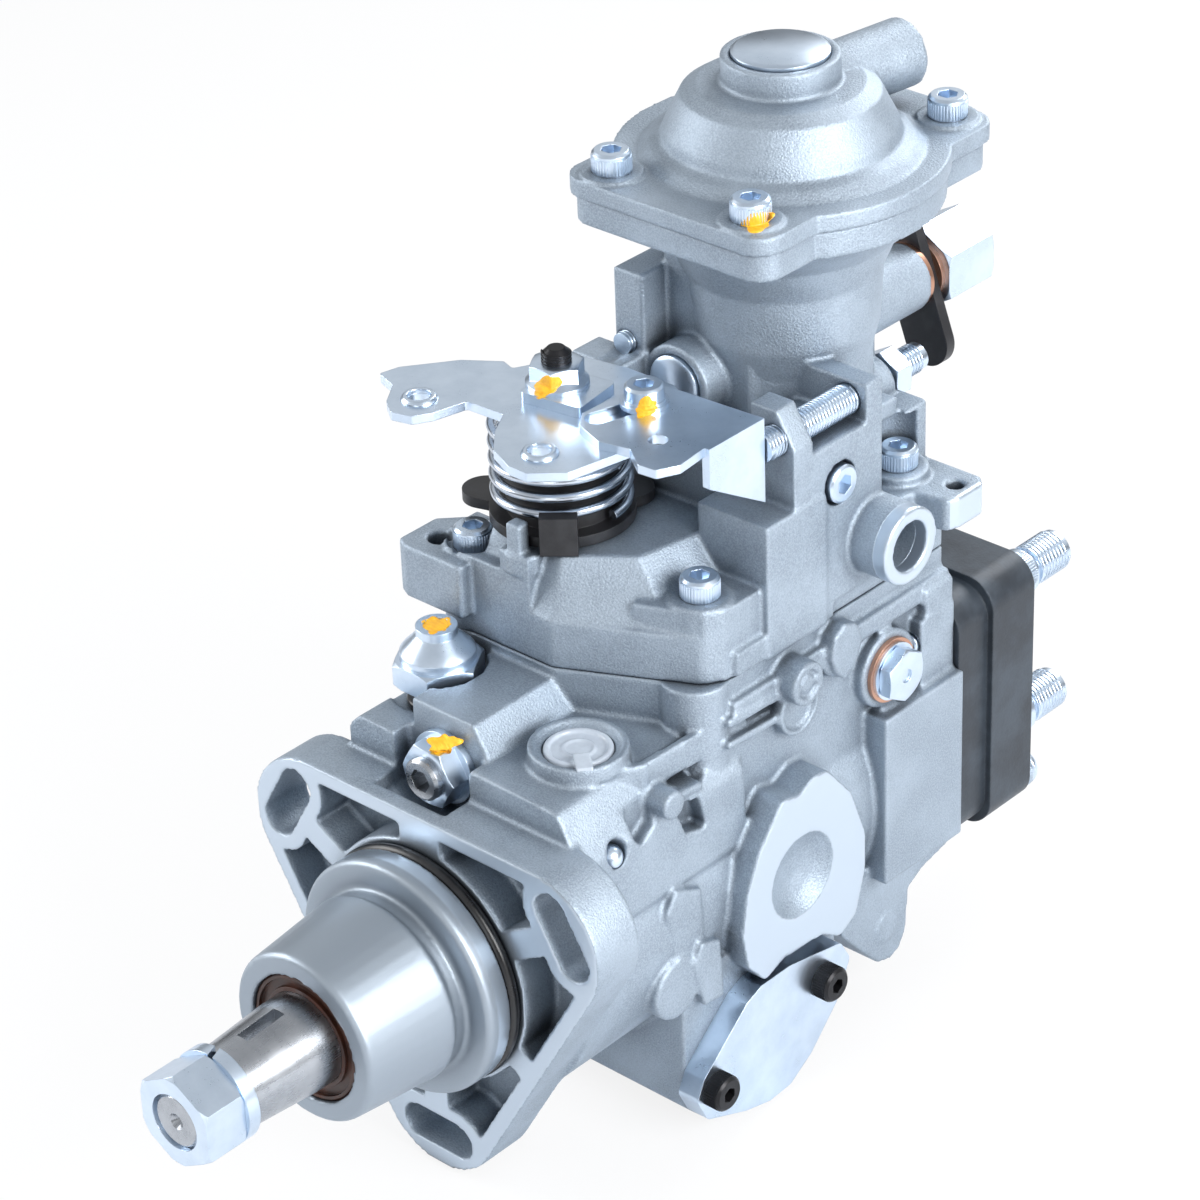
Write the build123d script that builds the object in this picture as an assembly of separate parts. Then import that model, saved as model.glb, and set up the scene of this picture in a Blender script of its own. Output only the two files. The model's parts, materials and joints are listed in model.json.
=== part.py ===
from build123d import *
import math
import os

# Rotary distributor injection pump for a four-cylinder diesel engine.
# The drive shaft runs along Y, with its threaded end towards -Y. The origin is where the shaft's axis
# meets the mating face of the flange, +Z points up and the fuel outlets leave towards +Y. Millimetres.

# Nose and flange
flange_thickness = 16.0
flange_corner_distance = 47.0
flange_corner_radius = 20.9
flange_rim = 4.8
flange_pocket_depth = 11.5
flange_web = 8.6
flange_top_web = 15.0
flange_edge_wall = 5.0
slot_circle_radius = 57.0
slot_width = 10.5
slot_length = 25.0
slot_wall = 4.6
slot_angles = (30, 150, 270)
pilot_radius = 34.0
pilot_length = 12.0
pilot_wall_radius = 35.6
o_ring_wire = 1.8
o_ring_radius = 32.6
nose_front = -45.5
nose_front_radius = 24.3
nose_rear = -17.0
nose_rear_radius = 27.0
nose_neck_radius = 26.0

# Drive shaft and what is on it
shaft_radius = 13.2
shaft_end = -89.4
thread_radius = 8.0
thread_chamfer = 1.1
taper_start = -73.2
taper_start_radius = 11.6
taper_end = -50.0
nut_front = -90.0
nut_length = 13.0
nut_across_flats = 24.0
washer_radius = 13.4
washer_inner_radius = 8.4
washer_split = 1.6
keyway_width = 4.0
keyway_depth = 2.4
keyway_length = 13.0
keyway_middle = -59.0
seal_bore_radius = 18.3
seal_length = 7.5
seal_recess = 0.9
seal_lip_gap = 0.08
bush_wall = 3.0
bush_end = 12.0
running_gap = 0.04
fit_gap = 0.02

# Feed pump
feed_start = 20.0
feed_length = 20.0
feed_ring_radius = 31.0
feed_bore_radius = 22.0
feed_offset = 2.1
rotor_radius = 19.7
rotor_bore_radius = 10.5
rotor_face_gap = 0.1
vane_thickness = 3.0
vane_length = 7.0
vane_count = 4
feed_cover_length = 5.0

# Gears between the shaft and the governor
gear_module = 1.6
shaft_gear_teeth = 40
governor_gear_teeth = 20
gear_start = 56.0
gear_length = 5.5
gear_bore_radius = 17.0
tooth_backlash = 0.22
damper_count = 2
damper_width = 8.0

# Coupling, rollers and cam
claw_inner_radius = 9.0
claw_start = 61.0
claw_length = 8.0
claw_half_angle = 24.0
cross_length = 7.0
cross_gap = 0.3
cross_radius = 15.0
roller_ring_radius = 37.6
roller_ring_bore = 17.5
roller_ring_start = 76.5
roller_ring_flat = 30.0
roller_ring_length = 9.0
roller_radius = 5.5
roller_length = 10.0
roller_circle_radius = 27.0
roller_count = 4
cam_radius = 32.8
cam_length = 8.0
cam_lift = 2.2
cam_gap = 0.05
lobe_count = 4

# Plunger and its springs
plunger_radius = 5.0
plunger_foot_radius = 11.0
plunger_end = 184.0
bridge_length = 4.0
bridge_half_width = 27.0
return_spring_offset = 21.0
return_spring_radius = 5.4
return_spring_wire = 1.3
return_spring_turns = 8
spool_start = 134.0
spool_length = 13.0
spool_radius = 10.0
spool_groove_radius = 8.0
spool_groove_width = 5.0

# Governor
governor_x = -8.0
governor_shaft_front = 9.6
governor_shaft_end = 122.0
governor_shaft_radius = 4.5
governor_thread_radius = 6.0
governor_nut_seat = 20.0
governor_nut_length = 8.0
governor_nut_across_flats = 16.0
governor_nut_collar_radius = 10.4
governor_nut_collar = 2.0
carrier_radius = 24.0
cage_gap = 0.6
carrier_bore_radius = 10.0
carrier_start = 62.0
carrier_length = 14.0
flyweight_count = 4
flyweight_width = 10.0
flyweight_length = 9.2
flyweight_height = 9.0
sleeve_radius = 8.0
sleeve_start = 70.0
sleeve_end = 128.0
sleeve_collar_radius = 9.5
sleeve_collar = 3.0
sleeve_cap = 4.0
lever_pivot_z = 27.0
lever_top = 81.5
lever_thickness = 4.0
lever_width = 16.0
lever_ball_radius = 2.4
lever_nub_radius = 3.0
lever_pin_radius = 2.0
lever_pin_half = 37.0
governor_spring_radius = 4.2
governor_spring_wire = 1.0
governor_spring_turns = 9
governor_spring_z = 77.5

# Pump housing
drum_radius = 46.0
chamber_radius = 38.0
chamber_start = 46.0
chamber_floor = -33.4
housing_rear = 165.0
parting_z = 66.0
top_half_width = 42.0
corner_y = 74.0
front_edge_y = 50.4
gear_chamber_start = 52.0
gear_chamber_half_width = 34.0
gear_chamber_rear = 158.0
front_block_top = 55.0
front_block_start = 20.0
side_boss_face = 52.0
side_boss_y = 92.0
dimple_radius = 12.5
dimple_depth = 5.0
timing_axis_y = 81.0
timing_axis_z = -45.0
timing_bore_radius = 10.5
timing_face = 45.0
timing_travel = 4.0
timing_plate_face = 52.0
rear_block_face = 50.0
rear_block_start = 130.5
rear_block_low = -25.0
rear_block_high = 29.0
plug_boss_height = 4.0
plug_boss_radius = 11.5
plug_y = 136.6
plug_z = 41.6
plug_radius = 6.9
plug_bore_radius = 7.0
plug_washer = 1.2
inlet_x = 23.5
inlet_y = 36.5
inlet_radius = 9.4
inlet_top = 57.0
valve_x = -27.0
valve_y = 37.5
valve_seat = 51.0
valve_thread_radius = 6.0
ball_x = 41.0
ball_y = 28.0
ball_z = 35.0
ball_radius = 3.5
belly_z = -68.0

# Timing device
piston_length = 56.0
piston_pocket_radius = 7.6
pin_radius = 4.5
pin_reach = 41.0
pin_gap = 0.8
timing_spring_radius = 5.6
timing_spring_wire = 1.4
timing_spring_turns = 6

# Distributor head
head_rear = 197.0
head_half_width = 50.0
head_low = -31.0
head_high = 50.0
head_corner = 9.0
head_step_y = 178.0
head_pilot_length = 12.0
barrel_radius = 14.0
barrel_start = 148.0
outlet_circle_radius = 33.5
outlet_angles = (45, 135, 225, 315)
outlet_end = 244.0
outlet_thread_radius = 6.0
outlet_thread_length = 12.0
outlet_neck_radius = 7.0
outlet_hex = 17.0
outlet_hex_length = 12.0
outlet_seat_depth = 9.0
outlet_bore_radius = 1.6
valve_radius = 3.0
valve_bore_radius = 3.1
valve_length = 12.0
head_plug_hex = 22.0
head_screw_x = 42.5
head_screw_z_low = -25.0
head_screw_z_high = 42.0

# Governor cover
cover_front_top = 80.0
cover_ridge_top = 89.5
cover_lobe_top = 87.0
cover_deck = 96.0
cover_wall = 6.0
cover_inner_top = 84.0
cover_step = 44.0
screw_pad_z = 88.0
rear_pad_z = 91.0
cover_screws = ((32.2, 75.4, 88.0), (-31.8, 57.8, 88.0), (32.0, 158.0, 91.0), (-32.0, 158.0, 91.0))
m6_radius = 3.0
m6_head_radius = 5.2
m6_head_height = 6.0
return_port_y = 133.0
return_port_z = 85.0
return_port_end = 56.0
return_port_radius = 7.2
pivot_plug_y = 119.0
pivot_plug_z = 106.0
post_top = 132.8
post_chamfer_x = 37.4
post_chamfer_z = 123.0
pocket_floor = 119.0
disc_x = -8.0
disc_z = 121.0
disc_radius = 8.2
disc_front = 111.6
stop_screw_x = 37.0
stop_screw_z = 124.4
stop_screw_radius = 4.0
idle_screw_x = -24.0
idle_screw_z = 129.0
idle_screw_radius = 3.0
load_screw_x = 15.5
load_screw_z = 107.0
load_screw_radius = 4.0
return_axis_x = 6.0
return_axis_z = 126.0
return_boss_end = 193.0

# Control lever
lever_axis_x = -15.0
lever_axis_y = 75.0
lever_boss_radius = 15.5
lever_boss_top = 96.0
lever_bore_radius = 5.0
lever_shaft_top = 145.0
lever_shaft_bottom = 72.5
lever_stud_radius = 3.8
lever_plate_z = 129.0
lever_plate_thickness = 2.5
hub_radius = 15.0
hub_flange_radius = 19.5
hub_flange = 3.0
hub_top = 118.0
peg_x = -10.5
peg_y = 52.9
spring_radius = 17.8
spring_wire = 1.35
spring_bottom = 100.0
spring_turns = 5
spring_pitch = 4.8
clamp_x = 9.8
clamp_y = 81.0

# Boost compensator
boost_x = 2.1
boost_y = 146.0
boost_parting = 176.0
boost_screw_x = 23.5
boost_screw_y = 40.4
boost_pad_z = 182.0
boost_rim_radius = 44.6
boost_ear_half_width = 34.9
boost_reach = 49.2
boost_rim_drop = 8.0
boost_dome_radius = 32.0
boost_shoulder_radius = 26.5
boost_boss_radius = 15.8
boost_boss_top = 207.4
boost_disc_radius = 13.1
boost_cavity_radius = 35.0
boost_tube_z = 194.5
boost_tube_end = 44.0
boost_tube_radius = 9.5
boost_tube_bore = 5.5
boost_pin_radius = 4.0
boost_pin_bottom = 128.0
boost_plate_radius = 22.0
boost_plate_z = 182.0
diaphragm_thickness = 1.0
tower_front = 122.0
tower_left = -20.0
tower_right = 16.0
tower_rear = 169.0


def outline(points, radius=0.0):
    """Flat face inside straight lines through the points, with its corners rounded."""
    face = make_face(Polyline(*points, close=True))
    if radius > 0:
        face = fillet(face.vertices(), radius)
    return face


def along_x(sketch, start, end):
    """Extrude a (y, z) sketch from x = start to x = end."""
    return extrude(Plane.YZ.offset(start) * sketch, end - start)


def along_y(sketch, start, end):
    """Extrude an (x, z) sketch from y = start to y = end."""
    return extrude(Plane.XZ.offset(-end) * sketch, end - start)


def along_z(sketch, start, end):
    """Extrude an (x, y) sketch from z = start to z = end."""
    return extrude(Plane.XY.offset(start) * sketch, end - start)


def turned(stations):
    """Solid of revolution about local Z through (height, radius) stations."""
    points = [(0, stations[0][0])]
    points += [(radius, height) for height, radius in stations]
    points += [(0, stations[-1][0])]
    return revolve(make_face(Plane.XZ * Polyline(*points, close=True)), Axis.Z)


def set_on(solid, at, toward):
    """Move a solid so that its local origin is at a point and its local Z points toward."""
    return Plane(origin=at, z_dir=toward) * solid


def turned_y(stations, x=0.0, z=0.0):
    """Solid of revolution about a line along Y, with its stations' heights as y."""
    return set_on(turned(stations), (x, 0, z), (0, 1, 0))


def turned_x(stations, y, z):
    """Solid of revolution about a line along X, with its stations' heights as x."""
    return set_on(turned(stations), (0, y, z), (1, 0, 0))


def rod_x(radius, start, end, y, z):
    return turned_x([(start, radius), (end, radius)], y, z)


def rod_y(radius, start, end, x=0.0, z=0.0):
    return turned_y([(start, radius), (end, radius)], x, z)


def rod_z(radius, start, end, x=0.0, y=0.0):
    return Pos(x, y, 0) * turned([(start, radius), (end, radius)])


def block(x_range, y_range, z_range):
    """Box between two values on each axis."""
    size = [high - low for low, high in (x_range, y_range, z_range)]
    middle = [(low + high) / 2 for low, high in (x_range, y_range, z_range)]
    return Pos(*middle) * Box(*size)


def polar(radius, degrees):
    angle = math.radians(degrees)
    return radius * math.cos(angle), radius * math.sin(angle)


def hexagon(across_flats, rotation=0):
    return RegularPolygon(across_flats / 2, 6, major_radius=False, rotation=rotation)


def cap_screw(length, radius=m6_radius, head_radius=m6_head_radius, head_height=m6_head_height, key=5.0):
    """Socket head screw: its head stands on local z = 0 and its shank points down."""
    screw = turned([(-length, radius - 0.6), (-length + 0.6, radius), (0, radius), (0, head_radius),
                    (head_height - 0.7, head_radius), (head_height, head_radius - 0.7)])
    return screw - along_z(hexagon(key), head_height * 0.45, head_height + 1)


def hex_nut(across_flats, height, bore_radius):
    """Plain nut on local z = 0 with its corners turned off on both faces."""
    corner = across_flats / 2 / math.cos(math.radians(30))
    ease = (corner - across_flats / 2) * 0.55
    envelope = turned([(0, corner - 1.2), (ease, corner + 0.1), (height - ease, corner + 0.1), (height, corner - 1.2)])
    return (along_z(hexagon(across_flats), 0, height) & envelope) - Cylinder(bore_radius, 4 * height)


def coil(radius, wire, start, end, turns, direction="y", x=0.0, z=0.0, y=0.0):
    """Helical spring between two stations on an axis."""
    length = end - start
    path = Helix(pitch=(length - 2 * wire) / turns, height=length - 2 * wire, radius=radius)
    section = Plane(origin=path @ 0, z_dir=path % 0) * Circle(wire)
    spring = Pos(0, 0, start + wire) * sweep(section, path=path)
    if direction == "x":
        return set_on(spring, (0, y, z), (1, 0, 0))
    if direction == "y":
        return set_on(spring, (x, 0, z), (0, 1, 0))
    return Pos(x, y, 0) * spring


def save(name, *solids):
    """Write one node, as its separate solids, to parts/NAME.step."""
    pieces = []
    for solid in solids:
        pieces += list(solid.solids())
    export_step(Compound(label=name, children=pieces), os.path.join("parts", name + ".step"))


os.makedirs("parts", exist_ok=True)

# Places worked out from the sizes
gear_distance = gear_module * (shaft_gear_teeth + governor_gear_teeth) / 2
governor_z = math.sqrt(gear_distance ** 2 - governor_x ** 2)
bush_radius = shaft_radius + running_gap + bush_wall
seal_end = nose_front + seal_recess + seal_length
feed_end = feed_start + feed_length
claw_end = claw_start + claw_length
cross_start = claw_start + cross_gap
roller_axis_y = roller_ring_start + roller_ring_length
cam_start = roller_axis_y + roller_radius + cam_gap
cam_end = cam_start + cam_lift + cam_length
bridge_end = cam_end + bridge_length
pin_swing = pin_reach / -timing_axis_z * timing_travel * 1.2
plug_boss_face = top_half_width + plug_boss_height


def flange_outline(inset=0.0):
    """Three round corners joined by straight edges, as an (x, z) sketch."""
    points = [polar(flange_corner_distance, angle) for angle in slot_angles]
    return offset(outline(points), flange_corner_radius - inset)


def slot_sketch(angle, growth=0.0):
    """One tangential slot as an (x, z) sketch."""
    x, z = polar(slot_circle_radius, angle)
    width = slot_width + 2 * growth
    return Pos(x, z) * SlotOverall(slot_length + 2 * growth, width, rotation=angle + 90)


def flange_pockets():
    """Cast pockets between the pilot's wall, the rim, the slots' walls and the webs."""
    region = flange_outline(flange_rim) - Circle(pilot_wall_radius)
    for angle in slot_angles:
        region -= slot_sketch(angle, slot_wall)
        region -= Rot(0, 0, angle) * Pos(flange_corner_distance, 0) * Rectangle(2 * flange_corner_distance, flange_web)
    for angle in (-30, 210):
        region -= Rot(0, 0, angle) * Pos(flange_corner_distance, 0) * Rectangle(2 * flange_corner_distance, flange_web)
    region -= Pos(0, flange_corner_distance) * Rectangle(flange_top_web, 2 * flange_corner_distance)
    pockets = [Sketch() + face for face in region.faces() if face.area > 40]
    return pockets


def flange():
    plate = along_y(flange_outline(), 0, flange_thickness)
    for pocket in flange_pockets():
        plate -= along_y(pocket, -1, flange_pocket_depth)
    for angle in slot_angles:
        plate -= along_y(slot_sketch(angle), -1, flange_thickness + 1)
    return plate


def nut_recess():
    """Hollow cast behind the flange's top edge, which leaves room for the governor shaft's nut."""
    low = governor_z - governor_nut_collar_radius - 1.2
    points = [(governor_x - 15, 70), (governor_x - 12.5, low + 4), (governor_x - 8, low), (governor_x + 8, low),
              (governor_x + 12.5, low + 4), (governor_x + 15, 70)]
    return along_y(outline(points), flange_edge_wall, governor_nut_seat)


def nose():
    groove_start = -2 * o_ring_wire - 0.1
    groove_radius = o_ring_radius - o_ring_wire
    return turned_y([(nose_front, nose_front_radius - 1), (nose_front + 1, nose_front_radius),
                     (nose_rear, nose_rear_radius), (nose_rear, nose_neck_radius),
                     (-pilot_length, nose_neck_radius), (-pilot_length, pilot_radius - 1),
                     (-pilot_length + 1, pilot_radius), (groove_start, pilot_radius),
                     (groove_start, groove_radius), (0, groove_radius), (0, pilot_wall_radius),
                     (flange_thickness, pilot_wall_radius)])


def top_outline(inset=0.0):
    """Joint between the governor chamber and its cover, as an (x, y) sketch."""
    half = top_half_width - inset
    front = front_edge_y + inset
    points = [(-half, housing_rear), (-half, front + 6), (-half + 6, front), (2 - inset * 0.27, front),
              (half - 4, corner_y - 6 + inset * 0.27), (half, corner_y + inset * 0.27), (half, housing_rear)]
    return outline(points)


def housing_body():
    """Outer form of the casting behind the flange."""
    body = rod_y(drum_radius, flange_thickness - 2, housing_rear)
    body += along_z(top_outline(), 0, parting_z)
    # Front block that carries the inlet, the pressure valve and the governor shaft
    block_points = [(-40, 14), (-38, front_block_top - 4), (-34, front_block_top), (36, front_block_top - 2),
                    (44, 38), (45, 14)]
    body += along_y(outline(block_points, 3), flange_thickness - 2, 78)
    ridge_points = [(-20, 30), (-20, parting_z - 3), (2, parting_z - 3), (7, 54), (7, 30)]
    body += along_y(outline(ridge_points), front_block_start, front_edge_y + 2)
    # Timing device across the bottom
    lug_points = [(timing_axis_y - 31, -16), (timing_axis_y - 31, -57), (timing_axis_y - 22, belly_z + 2),
                  (timing_axis_y + 8, belly_z), (timing_axis_y + 27, -52), (timing_axis_y + 33, -36),
                  (timing_axis_y + 33, -16)]
    body += along_x(outline(lug_points, 4), -timing_face, timing_face)
    # Machined round pads on both sides, with the cast flange of each
    boss_points = [(103, 28), (113, 16), (119, 0), (119, -12), (115, -25), (108, -29), (100, -24), (84, -23),
                   (76, -26), (69, -18), (67, -7), (69, 5), (74, 16), (84, 28), (91, 26), (97, 29)]
    for side in (-1, 1):
        start = 30 if side > 0 else -side_boss_face
        end = side_boss_face if side > 0 else -30
        body += along_x(outline(boss_points, 2.5), start, end)
        start = 30 if side > 0 else -rear_block_face
        end = rear_block_face if side > 0 else -30
        rear_points = [(rear_block_start, rear_block_low), (rear_block_start, rear_block_high),
                       (housing_rear, rear_block_high), (housing_rear, rear_block_low)]
        body += along_x(outline(rear_points), start, end)
    body += along_y(outline([(-46, -20), (-46, 58), (46, 58), (46, -20)]), housing_rear - 12, housing_rear)
    return body


def side_features():
    """Small bosses on the seen side, added to the casting."""
    features = rod_x(plug_boss_radius, 38, plug_boss_face, plug_y, plug_z)
    features += rod_x(6.0, 38, 47, 97, 57)
    features += rod_x(7.5, 38, 45, 117, 56)
    features += along_y(outline([(40, 54), (40, 60), (44.5, 60), (44.5, 54)]), corner_y, housing_rear)
    features += block((36, 46.5), (150, housing_rear), (26, 50))
    features += rod_z(inlet_radius + 3.5, 40, inlet_top, inlet_x, inlet_y)
    features += rod_z(10.5, 40, valve_seat, valve_x, valve_y)
    features += rod_y(11.5, governor_nut_seat, 40, governor_x, governor_z)
    features += rod_x(9.0, 36, 47.5, 46, -14)
    return features


def chamber_outline(start):
    """Governor chamber with the screws' bosses left in its corners, as an (x, y) sketch."""
    half = gear_chamber_half_width
    return outline([(-28.2, start), (-1, start), (17, 61.6), (23.5, 68), (23.5, 86), (half, 86), (half, 148),
                    (23.5, 148), (23.5, gear_chamber_rear), (-23.5, gear_chamber_rear), (-23.5, 148), (-half, 148),
                    (-half, 61.6), (-28.2, 61.6)])


def housing():
    body = nose() + flange() + housing_body() + side_features()
    body -= nut_recess()
    # Bores on the shaft's axis
    body -= turned_y([(nose_front - 1, seal_bore_radius), (seal_end, seal_bore_radius),
                      (seal_end, bush_radius), (bush_end, bush_radius), (bush_end, shaft_radius + 1),
                      (feed_start, shaft_radius + 1), (feed_start, feed_ring_radius),
                      (chamber_start, feed_ring_radius), (chamber_start, chamber_radius),
                      (housing_rear + 1, chamber_radius)])
    # Flat floor under the roller ring, above the timing bore
    low = chamber_floor - 7.0
    land = outline([(-20, low), (20, low), (20, chamber_floor), (-20, chamber_floor)])
    body += along_y(land, gear_start + gear_length + 1, roller_ring_start + roller_ring_length + 6)
    # Governor chamber above it, open at the top
    body -= along_z(chamber_outline(gear_chamber_start), 22, parting_z + 1)
    body -= block((-gear_chamber_half_width, 0), (gear_chamber_start, 70), (22, 53))
    gear_room = gear_module * (governor_gear_teeth / 2 + 1) + cage_gap
    body -= rod_y(gear_room, gear_start - cage_gap, carrier_start, governor_x, governor_z)
    body -= rod_y(carrier_radius + cage_gap, carrier_start - 0.5, carrier_start + carrier_length + 1, governor_x,
                  governor_z)
    body -= rod_x(lever_pin_radius + running_gap, -lever_pin_half - 1, lever_pin_half + 1, lever_y(), lever_pivot_z)
    body -= rod_y(governor_thread_radius, governor_nut_seat - 1, gear_chamber_start + 1, governor_x, governor_z)
    # Timing bore across the bottom, open to the chamber for the roller ring's pin
    body -= rod_x(timing_bore_radius, -timing_face - 1, timing_face + 1, timing_axis_y, timing_axis_z)
    body -= along_z(Pos(0, roller_ring_start + roller_ring_length / 2) * SlotOverall(
        2 * (pin_swing + pin_radius + pin_gap), 2 * (pin_radius + pin_gap)), timing_axis_z, -20)
    # Dimples in the machined pads
    for side in (-1, 1):
        body -= rod_x(dimple_radius, side * side_boss_face - dimple_depth, side * side_boss_face + dimple_depth,
                      side_boss_y, 0)
    # Ports
    body -= rod_z(inlet_radius, inlet_top - 13, inlet_top + 3, inlet_x, inlet_y)
    body -= rod_z(valve_thread_radius + fit_gap, 30, 60, valve_x, valve_y)
    body -= rod_z(13.0, valve_seat, valve_seat + 13, valve_x, valve_y)
    body -= rod_x(plug_bore_radius, 36, plug_boss_face + 2, plug_y, plug_z)
    body -= rod_x(3.2, 40, 48, 97, 57)
    body -= Pos(ball_x, ball_y, ball_z) * Sphere(ball_radius + fit_gap)
    body -= set_on(rod_z(ball_radius + fit_gap, 0, 6), (ball_x, ball_y, ball_z), (0.72, 0, 0.69))
    # Threads for the covers' and the head's screws
    for x, y, pad in cover_screws:
        body -= rod_z(m6_radius + fit_gap, pad - 34, parting_z + 1, x, y)
    for y, z in timing_screws():
        for side in (-1, 1):
            body -= rod_x(2.5 + fit_gap, min(side * 28, side * 46), max(side * 28, side * 46), y, z)
    for x in (-head_screw_x, head_screw_x):
        for z in (head_screw_z_low, head_screw_z_high):
            body -= rod_y(m6_radius + fit_gap, 140, housing_rear + 1, x, z)
    return body


def timing_screws():
    return ((100.0, -38.7), (54.0, -48.9))


def drive_shaft():
    shaft = turned_y([(shaft_end, thread_radius - thread_chamfer), (shaft_end + thread_chamfer, thread_radius),
                      (taper_start, thread_radius), (taper_start, taper_start_radius),
                      (taper_end, shaft_radius), (feed_start - 1, shaft_radius), (feed_start - 1, rotor_bore_radius),
                      (feed_end + feed_cover_length, rotor_bore_radius),
                      (feed_end + feed_cover_length, 14), (gear_start - 2, 14), (gear_start - 2, gear_bore_radius),
                      (claw_start, gear_bore_radius)])
    claws = rod_y(gear_bore_radius, claw_start, claw_end) - rod_y(claw_inner_radius, claw_start, claw_end + 1)
    keep = Sketch()
    for middle in (0, 180):
        x1, z1 = polar(40, middle - claw_half_angle)
        x2, z2 = polar(40, middle + claw_half_angle)
        keep += outline([(0, 0), (x1, z1), (x2, z2)])
    shaft += claws & along_y(keep, claw_start, claw_end)
    keyway = Pos(0, keyway_middle, shaft_radius) * Box(keyway_width, keyway_length, 2 * keyway_depth + 2)
    centre = turned_y([(shaft_end - 0.1, 2.4), (shaft_end + 2.2, 0.9), (shaft_end + 5, 0.9)])
    return shaft - keyway - centre


def shaft_nut():
    nut = hex_nut(nut_across_flats, nut_length, thread_radius + fit_gap)
    return Plane(origin=(0, nut_front, 0), x_dir=(1, 0, 0), z_dir=(0, 1, 0)) * (Rot(0, 0, 30) * nut)


def spring_washer():
    ring = turned_y([(nut_front + nut_length, washer_radius), (taper_start, washer_radius)])
    ring -= rod_y(washer_inner_radius, nut_front, taper_start + 1)
    split = Pos(0, taper_start - 2, washer_radius - 3) * Rot(0, 0, 20) * Box(washer_split, 12, 12)
    return ring - split


def shaft_seal():
    start = nose_front + seal_recess
    lip = shaft_radius + seal_lip_gap
    case = turned_y([(start, seal_bore_radius - 0.5), (start + 0.5, seal_bore_radius), (seal_end, seal_bore_radius)])
    case -= rod_y(lip, start - 1, seal_end + 1)
    return case - (rod_y(seal_bore_radius - 1.4, start - 1, start + 1.2) - rod_y(lip + 1.2, start - 2, start + 2))


def gear(teeth, bore_radius):
    """Spur gear on local z = 0 with straight-sided teeth, a tooth centred on local X."""
    pitch_radius = gear_module * teeth / 2
    tip = pitch_radius + gear_module * 0.95
    root = pitch_radius - gear_module * 1.2
    quarter = math.degrees(math.pi * gear_module / 4 / pitch_radius)
    ease = math.degrees(tooth_backlash / 2 / pitch_radius)
    points = []
    for index in range(teeth):
        middle = 360 * index / teeth
        for radius, share in ((root, -1.55), (tip, -0.5), (tip, 0.5), (root, 1.55)):
            points.append(polar(radius, middle + share * quarter - math.copysign(ease, share)))
    return along_z(outline(points) - Circle(bore_radius), 0, gear_length)


def place_gear(solid, x, z, turn):
    """Stand a gear on its shaft: its local X points along (x, z) = (cos turn, sin turn)."""
    angle = math.radians(turn)
    plane = Plane(origin=(x, gear_start + gear_length, z), x_dir=(math.cos(angle), 0, math.sin(angle)),
                  z_dir=(0, -1, 0))
    return plane * solid


def gear_line_angle():
    return math.degrees(math.atan2(governor_z, governor_x))


def shaft_gear():
    """Gear with two windows for the rubber dampers, driven by the shaft's collar."""
    wheel = gear(shaft_gear_teeth, gear_bore_radius)
    for index in range(damper_count):
        wheel -= Rot(0, 0, 360 * index / damper_count) * Pos(gear_bore_radius + 1.5, 0, gear_length / 2) * Box(
            7, damper_width, gear_length + 1)
    return place_gear(wheel, 0, 0, gear_line_angle())


def gear_dampers():
    blocks = []
    for index in range(damper_count):
        angle = gear_line_angle() + 360 * index / damper_count
        plane = Plane(origin=(0, gear_start + gear_length, 0), z_dir=(0, -1, 0),
                      x_dir=(math.cos(math.radians(angle)), 0, math.sin(math.radians(angle))))
        piece = Pos(gear_bore_radius + 2.4, 0, gear_length / 2) * Box(4.6, damper_width - 0.2, gear_length)
        blocks.append(plane * (piece - Cylinder(gear_bore_radius + 0.1, 4 * gear_length)))
    return blocks


def flyweight_carrier():
    """Cage with its gear, four windows for the flyweights and their pins."""
    half_tooth = 180 / governor_gear_teeth
    wheel = place_gear(gear(governor_gear_teeth, governor_shaft_radius + running_gap), governor_x, governor_z,
                       gear_line_angle() + 180 + half_tooth)
    cage = turned_y([(gear_start + gear_length, 15), (carrier_start, 15), (carrier_start, carrier_radius),
                     (carrier_start + carrier_length, carrier_radius)], governor_x, governor_z)
    cage -= rod_y(governor_shaft_radius + running_gap, gear_start, carrier_start + 5, governor_x, governor_z)
    cage -= rod_y(carrier_bore_radius, carrier_start + 4, carrier_start + carrier_length + 1, governor_x, governor_z)
    for index in range(flyweight_count):
        window = Pos(carrier_radius - 4, 0, 0) * Box(22, flyweight_width + 0.8, carrier_length - 3)
        plane = governor_plane(index, carrier_start + carrier_length / 2 + 3)
        cage -= plane * window
    return wheel + cage


def governor_plane(index, y):
    """Plane at a flyweight: local X points outwards, local Z points along +Y."""
    angle = math.radians(45 + 360 * index / flyweight_count)
    return Plane(origin=(governor_x, y, governor_z), x_dir=(math.cos(angle), 0, math.sin(angle)),
                 z_dir=(0, 1, 0))


def flyweight(index):
    """Weight with a short finger that pushes the sleeve's collar."""
    weight = Pos(carrier_radius - 6, 0, 0) * Box(flyweight_height, flyweight_width, flyweight_length)
    finger = Pos(sleeve_radius + 3.1, 0, flyweight_length / 2 - 1.5) * Box(5, flyweight_width - 2, 3)
    return governor_plane(index, carrier_start + carrier_length - flyweight_length / 2) * (weight + finger)


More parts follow.
